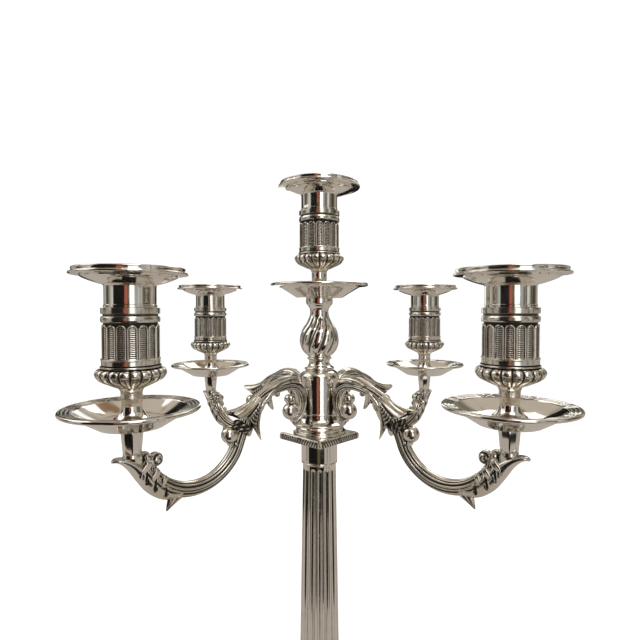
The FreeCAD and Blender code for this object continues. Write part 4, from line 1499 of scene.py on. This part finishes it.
@dataclass
class Stand:
    """Square foot, turned foot, fluted shaft, collar and abacus, from the table."""

    base_side: float = 140.0
    base_height: float = 40.0
    plinth_side: float = 64.0
    foot_height: float = 17.6
    shaft_low_radius: float = 16.0
    shaft_high_radius: float = 12.7
    flute_count: int = 16
    abacus_side: float = 44.0
    abacus_thick: float = 6.0
    collar_height: float = 17.0

    def _square(self, name: str, outline: Outline, relief: Relief, per_side: int) -> Casting:
        """A moulding mitred round a square.

        Args:
            name: the casting's name.
            outline: half outline; its across values are distances to a side.
            relief: from distance along the side (from its middle), distance to the axis and height.
            per_side: points along each side.

        Returns:
            The casting.
        """
        line, normal = outline.sampled()
        across, up = line[:, :1], line[:, 1:]
        half = np.abs(across)
        tick = np.linspace(-1, 1, per_side, endpoint=False)[None, :]
        rows = []
        darks = []
        for quarter in range(4):
            along = tick * half
            rise, recess = relief(along, across, up)
            hold = smooth(1.0, 0.985, np.abs(tick) + 0 * half)
            out = half + rise * normal[:, :1] * hold
            height = up + rise * normal[:, 1:] * hold
            angle = quarter * TAU / 4
            turn_x, turn_y = math.cos(angle), math.sin(angle)
            rows.append(np.stack([out * turn_x - along * turn_y, out * turn_y + along * turn_x,
                                  height + 0 * along], axis=2))
            darks.append(np.broadcast_to(recess, out.shape))
        return Casting(name).skin(np.concatenate(rows, axis=1), np.concatenate(darks, axis=1), ends=True)

    @staticmethod
    def _gadroons(low: float, high: float, inner: float, pitch: float, half: float) -> Relief:
        """Slanting gadroons on an upright edge, mirrored at its middle, with a clasp and corner leaves.

        Args:
            low: height where the border starts.
            high: height where it ends.
            inner: distance to the axis below which nothing is chased.
            pitch: distance between gadroons.
            half: half the length of a side.

        Returns:
            The relief.
        """
        middle = (low + high) / 2
        tall = high - low

        def relief(along: Array, across: Array, up: Array) -> tuple[Array, Array]:
            """Height and recess of the border.

            Args:
                along: distance along the side from its middle, in millimetres.
                across: distance of each row from the axis, in millimetres.
                up: height of each row, in millimetres.

            Returns:
                Height of the relief and depth of the recess at each point.
            """
            window = smooth(low - 0.05, low + 0.25, up) * smooth(high + 0.05, high - 0.25, up)
            window = window * (across > inner)
            lean = np.abs(along) - (up - middle) * 0.6
            lobe = saw(lean / pitch)
            swell = bead(lobe, 1.0) * ridge(up - middle, tall * 1.3)
            clasp = ridge(along, pitch * 2.2)
            rising = (up - middle) * 0.8
            cross = np.maximum(bead(along - rising, 1.0), bead(along + rising, 1.0)) * clasp
            aside = np.abs(along)
            corner = ridge(half - aside, pitch * 2.2)
            plain = smooth(pitch * 0.6, pitch * 0.8, aside) * smooth(half - pitch, half - pitch * 1.3, aside)
            height = np.maximum(np.maximum(swell * plain, cross), corner)
            return (0.8 * height - 0.5) * window, np.clip(1.3 * (1 - height) - 0.1, 0, 1) * window

        return relief

    def base(self) -> Casting:
        """The stepped square foot with a gadrooned edge and a hollow slope.

        Returns:
            The casting.
        """
        edge, plinth, top = self.base_side / 2, self.plinth_side / 2, self.base_height
        outline = Outline([
            Corner(edge - 1, 1.2), Corner(edge - 0.4, 1.2), Corner(edge - 0.4, 2.4),
            Corner(edge - 0.8, 2.8, 0.12, 0.35), Corner(edge - 0.8, 8.4), Corner(edge - 1.4, 9.0),
            Corner(edge - 1.6, 10.0), Corner(edge - 4, 10.2, -0.27, 1.6),
            Corner(plinth + 5, top - 10), Corner(plinth + 5, top - 8, 0.3), Corner(plinth, top - 5),
            Corner(plinth, top - 0.3), Corner(plinth - 0.3, top), Corner(3.2, top), Corner(3.2, top - 1),
            Corner(plinth - 1, top - 1), Corner(plinth - 1, top - 6), Corner(plinth + 4, top - 10.6, 0.27, 3),
            Corner(edge - 5, 9.2), Corner(edge - 1.9, 8), Corner(edge - 1, 1.25)])
        return self._square("base_shell", outline, self._gadroons(2.8, 8.4, edge - 2, 3.6, edge), 260)

    def abacus(self) -> Casting:
        """The square cap with its leaf border.

        Returns:
            The casting.
        """
        half, top = self.abacus_side / 2, COLUMN_TOP
        low = top - self.abacus_thick
        outline = Outline([
            Corner(11.4, low), Corner(half - 2.6, low), Corner(half - 1.9, low + 0.3),
            Corner(half - 0.9, low + 1.0, 0.15, 0.22),
            Corner(half - 0.9, top - 0.9), Corner(half - 1.5, top - 0.3), Corner(half - 2.2, top),
            Corner(14.1, top), Corner(14.1, top - 1.5), Corner(11.4, top - 1.5)], ease=0.15)
        border = self._gadroons(low + 0.8, top - 0.8, half - 3, 2.5, half - 0.9)
        return self._square("abacus", outline, border, 150)

    def foot(self) -> Casting:
        """The turned mouldings at the column's foot.

        Returns:
            The casting.
        """
        z, r = self.base_height, 28.4
        return Casting("column_foot").turned(Outline([
            Corner(3.2, z), Corner(r - 2.6, z, 0.85), Corner(r - 2.6, z + 6.4), Corner(r - 4, z + 6.5),
            Corner(r - 4, z + 7.5, -0.45), Corner(r - 8, z + 11.4), Corner(r - 8, z + 12.2, 0.85),
            Corner(r - 8, z + 15.6), Corner(17.4, z + 15.7), Corner(17.4, z + self.foot_height),
            Corner(3.2, z + self.foot_height)]), 200)

    def _flutes(self, angle: Array, across: Array, up: Array) -> tuple[Array, Array]:
        """Round-ended flutes up the shaft, with narrow flats between them.

        Args:
            angle: angle round the axis of each column of points, in radians.
            across: distance of each row from the axis, in millimetres.
            up: height of each row, in millimetres.

        Returns:
            Height of the relief and depth of the recess at each point.
        """
        low = self.base_height + self.foot_height + 4.5
        high = COLUMN_TOP - self.abacus_thick - self.collar_height - 3.0
        pitch = TAU * across / self.flute_count
        aside = saw(angle / TAU * self.flute_count) * pitch
        half = pitch * 0.38
        beyond = np.maximum(np.maximum(up - (high - half), (low + half) - up), 0)
        depth = ridge(np.hypot(aside, beyond), 2 * half)
        outside = across > self.shaft_high_radius - 0.75
        lip = np.exp(-((np.hypot(aside, beyond) / half - 0.92) / 0.12) ** 2)
        return -1.6 * depth * outside, (0.32 * depth ** 3 + 0.30 * lip) * outside

    def shaft(self) -> Casting:
        """The tapered fluted shaft.

        Returns:
            The casting.
        """
        low = self.base_height + self.foot_height
        high = COLUMN_TOP - self.abacus_thick - self.collar_height
        wide, slim = self.shaft_low_radius, self.shaft_high_radius
        return Casting("column_shaft").turned(Outline([
            Corner(14.4, low), Corner(wide + 0.9, low), Corner(wide + 0.9, low + 1.2, -0.3),
            Corner(wide, low + 3.0, 0, 0.9), Corner(wide - 0.1, low + 10, 0, 6),
            Corner(slim + 0.15, high - 10, 0, 0.7), Corner(slim, high - 0.2),
            Corner(11.3, high)]), self.flute_count * 18, self._flutes)

    def collar(self) -> Casting:
        """The plain ring under the abacus, with a bead at its foot.

        Returns:
            The casting.
        """
        high = COLUMN_TOP - self.abacus_thick
        low = high - self.collar_height
        return Casting("column_collar").turned(Outline([
            Corner(11.4, low), Corner(13.2, low, 0.8), Corner(13.2, low + 1.4), Corner(13.1, low + 1.7),
            Corner(13.8, low + 2.0), Corner(13.8, high - 1), Corner(13.3, high), Corner(11.4, high)]), 160)

    def build(self, bench: Bench) -> None:
        """Makes and places the pieces of the stand.

        Args:
            bench: places the finished meshes in the frame.
        """
        for node, casting, slot, finish in (
                ("base_shell", self.base(), Slot.POLISHED, Finishes.POLISHED),
                ("column_foot", self.foot(), Slot.POLISHED, Finishes.POLISHED),
                ("column_shaft", self.shaft(), Slot.POLISHED, Finishes.POLISHED),
                ("column_collar", self.collar(), Slot.POLISHED, Finishes.POLISHED),
                ("abacus", self.abacus(), Slot.CHASED, Finishes.CHASED)):
            bench.place(casting.mesh(), node, "candlestick", slot, finish, Vector((0, 0, 0)))


# Studio --------------------------------------------------------------------------------------


@dataclass
class Studio:
    """Pale floor, white backdrop, a room that only reflections see, soft lamps and the camera."""

    eye: tuple[float, float, float] = (0.260, -0.267, 0.3859)
    heading: float = 134.15
    pitch: float = -1.4
    roll: float = -0.05
    lens: float = 27.601875
    sensor: float = 36.0
    floor_size: float = 30.0
    floor_seen: tuple[float, float, float, float] = (0.97, 0.965, 0.96, 1)
    floor_mirrored: tuple[float, float, float, float] = (0.355, 0.322, 0.293, 1)
    ceiling: tuple[float, float, float, float] = (0.50, 0.45, 0.385, 1)
    beams: tuple[float, float, float, float] = (0.24, 0.15, 0.085, 1)
    walls: tuple[tuple[float, tuple[float, float, float]], ...] = (
        (0.00, (0.22, 0.205, 0.16)), (0.05, (0.50, 0.48, 0.42)), (0.10, (0.05, 0.042, 0.03)),
        (0.14, (0.22, 0.21, 0.17)), (0.20, (0.62, 0.63, 0.62)), (0.25, (0.20, 0.19, 0.15)),
        (0.31, (0.02, 0.018, 0.015)), (0.38, (0.04, 0.034, 0.024)), (0.42, (0.36, 0.34, 0.29)),
        (0.49, (0.14, 0.125, 0.09)), (0.54, (0.72, 0.71, 0.68)), (0.58, (0.20, 0.185, 0.14)),
        (0.64, (0.03, 0.026, 0.02)), (0.68, (0.15, 0.13, 0.09)), (0.72, (0.44, 0.42, 0.36)),
        (0.76, (0.16, 0.145, 0.10)), (0.92, (0.40, 0.40, 0.38)), (0.96, (0.09, 0.08, 0.06)))

    @staticmethod
    def _placed(name: str, corners: Sequence[tuple[float, float, float]],
                material: bpy.types.Material) -> bpy.types.Object:
        """A four-cornered sheet that belongs to the room and not to the object.

        Args:
            name: name of what is made.
            corners: its four corners, in metres.
            material: what it is made of.

        Returns:
            The sheet.
        """
        mesh = bpy.data.meshes.new(name)
        mesh.from_pydata(list(corners), [], [(0, 1, 2, 3)])
        mesh.materials.append(material)
        sheet = bpy.data.objects.new(name, mesh)
        bpy.context.scene.collection.objects.link(sheet)
        return sheet

    @staticmethod
    def _glow(name: str, colour: tuple[float, float, float], strength: float) -> bpy.types.Material:
        """A plain glowing material for a card.

        Args:
            name: name of what is made.
            colour: what it shows.
            strength: how brightly.

        Returns:
            The material.
        """
        material = bpy.data.materials.new(name)
        material.use_nodes = True
        book = NodeBook(material.node_tree)
        material.node_tree.nodes.remove(material.node_tree.nodes["Principled BSDF"])
        glow = book.node("ShaderNodeEmission")
        glow.inputs["Color"].default_value = (*colour, 1)
        glow.inputs["Strength"].default_value = strength
        book.link(glow.outputs[0], material.node_tree.nodes["Material Output"].inputs["Surface"])
        return material

    def _reflected(self, name: str, corners: Sequence[tuple[float, float, float]],
                   colour: tuple[float, float, float], strength: float) -> None:
        """A glowing sheet that only reflections see.

        Args:
            name: name of what is made.
            corners: its four corners, in metres.
            colour: what it shows.
            strength: how brightly.
        """
        sheet = self._placed(name, corners, self._glow(name, colour, strength))
        sheet.visible_camera = False
        sheet.visible_diffuse = False
        sheet.visible_shadow = False

    def _card(self, name: str, bearings: tuple[float, float], distance: float, heights: tuple[float, float],
              colour: tuple[float, float, float], strength: float = 1.0) -> None:
        """An upright card near the camera that only reflections see.

        Args:
            name: the card's name.
            bearings: degrees from +X of its two edges, seen from the column.
            distance: metres from the column to its edges.
            heights: its lower and upper edge.
            colour: what it shows.
            strength: how brightly.
        """
        left, right = ((math.cos(math.radians(a)) * distance, math.sin(math.radians(a)) * distance)
                       for a in bearings)
        low, high = heights
        corners = [(*left, low), (*right, low), (*right, high), (*left, high)]
        self._reflected(name, corners, colour, strength)

    def _shade(self, name: str, bearings: tuple[float, float], reaches: tuple[float, float],
               colour: tuple[float, float, float]) -> None:
        """A patch lying just over the floor that only reflections see.

        Args:
            name: the patch's name.
            bearings: degrees from +X of its two edges, seen from the column.
            reaches: metres from the column to its near and far edge.
            colour: what it shows.
        """
        corners = [(math.cos(math.radians(a)) * reach, math.sin(math.radians(a)) * reach, 0.001)
                   for a, reach in ((bearings[0], reaches[0]), (bearings[0], reaches[1]),
                                    (bearings[1], reaches[1]), (bearings[1], reaches[0]))]
        self._reflected(name, corners, colour, 1.0)

    def _floor(self) -> None:
        """A pale floor that fades into the white backdrop."""
        half = self.floor_size / 2
        material = bpy.data.materials.new("pale_floor")
        material.use_nodes = True
        book = NodeBook(material.node_tree)
        shader = material.node_tree.nodes["Principled BSDF"]
        mirrored = book.node("ShaderNodeLightPath").outputs["Is Glossy Ray"]
        book.link(book.blend(mirrored, self.floor_seen, self.floor_mirrored), shader.inputs["Base Color"])
        shader.inputs["Roughness"].default_value = 0.95
        shader.inputs["Specular IOR Level"].default_value = 0.0
        corners = [(-half, -half, 0), (half, -half, 0), (half, half, 0), (-half, half, 0)]
        self._placed("floor", corners, material)

    def _room(self, book: NodeBook) -> bpy.types.NodeSocket:
        """The colours of the walls round the object and of the ceiling over it.

        Args:
            book: the tree that the nodes go in.

        Returns:
            The socket with the room's colour.
        """
        heading = book.node("ShaderNodeTexCoord").outputs["Generated"]
        around = book.node("ShaderNodeTexGradient", gradient_type="RADIAL")
        book.link(heading, around.inputs["Vector"])
        ramp = book.node("ShaderNodeValToRGB")
        stops = ramp.color_ramp.elements
        stops[0].position, stops[1].position = self.walls[0][0], self.walls[-1][0]
        for place, _ in self.walls[1:-1]:
            stops.new(place)
        for stop, (_, colour) in zip(stops, self.walls):
            stop.color = (*colour, 1)
        book.link(around.outputs["Fac"], ramp.inputs["Fac"])
        patches = book.range(book.noise(heading, 2.4, 2, 0.5), 0.54, 0.60)
        over = book.blend(patches, self.ceiling, self.beams)
        split = book.node("ShaderNodeSeparateXYZ")
        book.link(heading, split.inputs[0])
        return book.blend(book.range(split.outputs["Z"], 0.45, 0.62), ramp.outputs["Color"], over)

    def _world(self) -> None:
        """White to the camera and to the floor's light; a furnished room to reflections."""
        world = bpy.data.worlds.new("studio")
        world.use_nodes = True
        bpy.context.scene.world = world
        book = NodeBook(world.node_tree)
        path = book.node("ShaderNodeLightPath")
        backdrop = world.node_tree.nodes["Background"]
        room = book.blend(path.outputs["Is Glossy Ray"], (1.0, 1.0, 0.995, 1), self._room(book))
        book.link(room, backdrop.inputs["Color"])
        backdrop.inputs["Strength"].default_value = 1.05

    def _lamp(self, name: str, at: tuple[float, float, float], size: float, power: float) -> None:
        """A square soft light aimed at the branch.

        Args:
            name: name of what is made.
            at: where it hangs, in metres.
            size: its side, in metres.
            power: its power, in watts.
        """
        data = bpy.data.lights.new(name, "AREA")
        data.size = size
        data.energy = power
        lamp = bpy.data.objects.new(name, data)
        bpy.context.scene.collection.objects.link(lamp)
        lamp.location = at
        aim = Vector((0, 0, 0.3)) - lamp.location
        lamp.rotation_euler = aim.to_track_quat("-Z", "Y").to_euler()
        lamp.visible_camera = False

    def _camera(self) -> None:
        """The camera, close in front between the right and front arms."""
        data = bpy.data.cameras.new("camera")
        data.sensor_width = self.sensor
        data.lens = self.lens
        data.clip_start = 0.01
        camera = bpy.data.objects.new("camera", data)
        bpy.context.scene.collection.objects.link(camera)
        heading, pitch = math.radians(self.heading), math.radians(self.pitch)
        level = math.cos(pitch)
        forward = Vector((math.cos(heading) * level, math.sin(heading) * level, math.sin(pitch)))
        facing = forward.to_track_quat("-Z", "Y").to_matrix().to_4x4()
        roll = Matrix.Rotation(math.radians(self.roll), 4, "Z")
        camera.matrix_world = Matrix.Translation(self.eye) @ facing @ roll
        bpy.context.scene.camera = camera

    def build(self) -> None:
        """Sets the floor, the surround, the cards, the lamps and the camera."""
        self._floor()
        self._world()
        self._camera()
        dark, olive = (0.010, 0.009, 0.008), (0.10, 0.088, 0.045)
        red, window, grey = (0.40, 0.11, 0.075), (1.0, 1.0, 0.99), (0.36, 0.39, 0.41)
        self._card("dark_figure", (-100, -58), 0.66, (-0.1, 1.0), dark)
        self._card("red_scarf", (-60, -49), 0.655, (0.15, 0.62), red)
        self._card("olive_coat", (-58, -40), 0.68, (0.0, 1.0), olive)
        self._card("window", (-40, -22), 0.70, (0.13, 0.8), window, 1.6)
        self._card("window_side", (-22, -10), 0.70, (0.16, 0.9), grey)
        self._card("dark_skirt", (-116, -58), 0.65, (-0.1, 0.16), dark)
        self._card("cupboard", (108, 128), 1.1, (0.12, 1.0), dark)
        self._card("far_window", (134, 150), 1.1, (0.2, 0.9), window, 1.3)
        self._card("far_door", (172, 190), 1.1, (0.12, 1.0), dark)
        self._card("door_edge", (2, 5), 0.72, (-0.1, 1.0), dark)
        self._shade("table_shade", (-78, -14), (0.33, 2.0), dark)
        for place in (-136, -129, 23):
            self._card(f"dark_line_{place + 180}", (place, place + 2.6), 0.8, (-0.1, 1.0), dark)
        self._lamp("key", (0.9, -0.5, 1.6), 0.8, 7)
        self._lamp("fill", (-1.0, -0.9, 1.3), 1.0, 4)
        self._lamp("rim", (-0.4, 1.2, 1.4), 0.9, 5)
        bpy.context.scene.view_settings.view_transform = "Standard"


# Assembly ------------------------------------------------------------------------------------


HIDDEN_FINISHES = {
    "base_felt": Finishes.FELT,
    "base_plate": Finishes.STEEL,
    "base_fill": Finishes.FILLER,
    "column_cup": Finishes.BRASS,
    "tie_rod": Finishes.STEEL,
    "tie_washer": Finishes.STEEL,
    "tie_nut": Finishes.STEEL,
    "branch_spigot": Finishes.BRASS,
    "spigot_sleeve": Finishes.LEATHER,
    "branch_rod": Finishes.STEEL,
    "light_screws": Finishes.STEEL,
}


def main() -> None:
    """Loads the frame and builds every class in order."""
    logging.basicConfig(level=logging.INFO, format="%(name)s: %(message)s")
    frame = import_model()
    bench = Bench(Finishes())
    for part in (Stand(), Centre(), Arm(), Light()):
        part.build(bench)
        LOG.info("%s is in place", type(part).__name__)
    for node, finish in HIDDEN_FINISHES.items():
        bench.dress(frame["nodes"][node], finish)
    Studio().build()


if __name__ == "__main__":
    main()
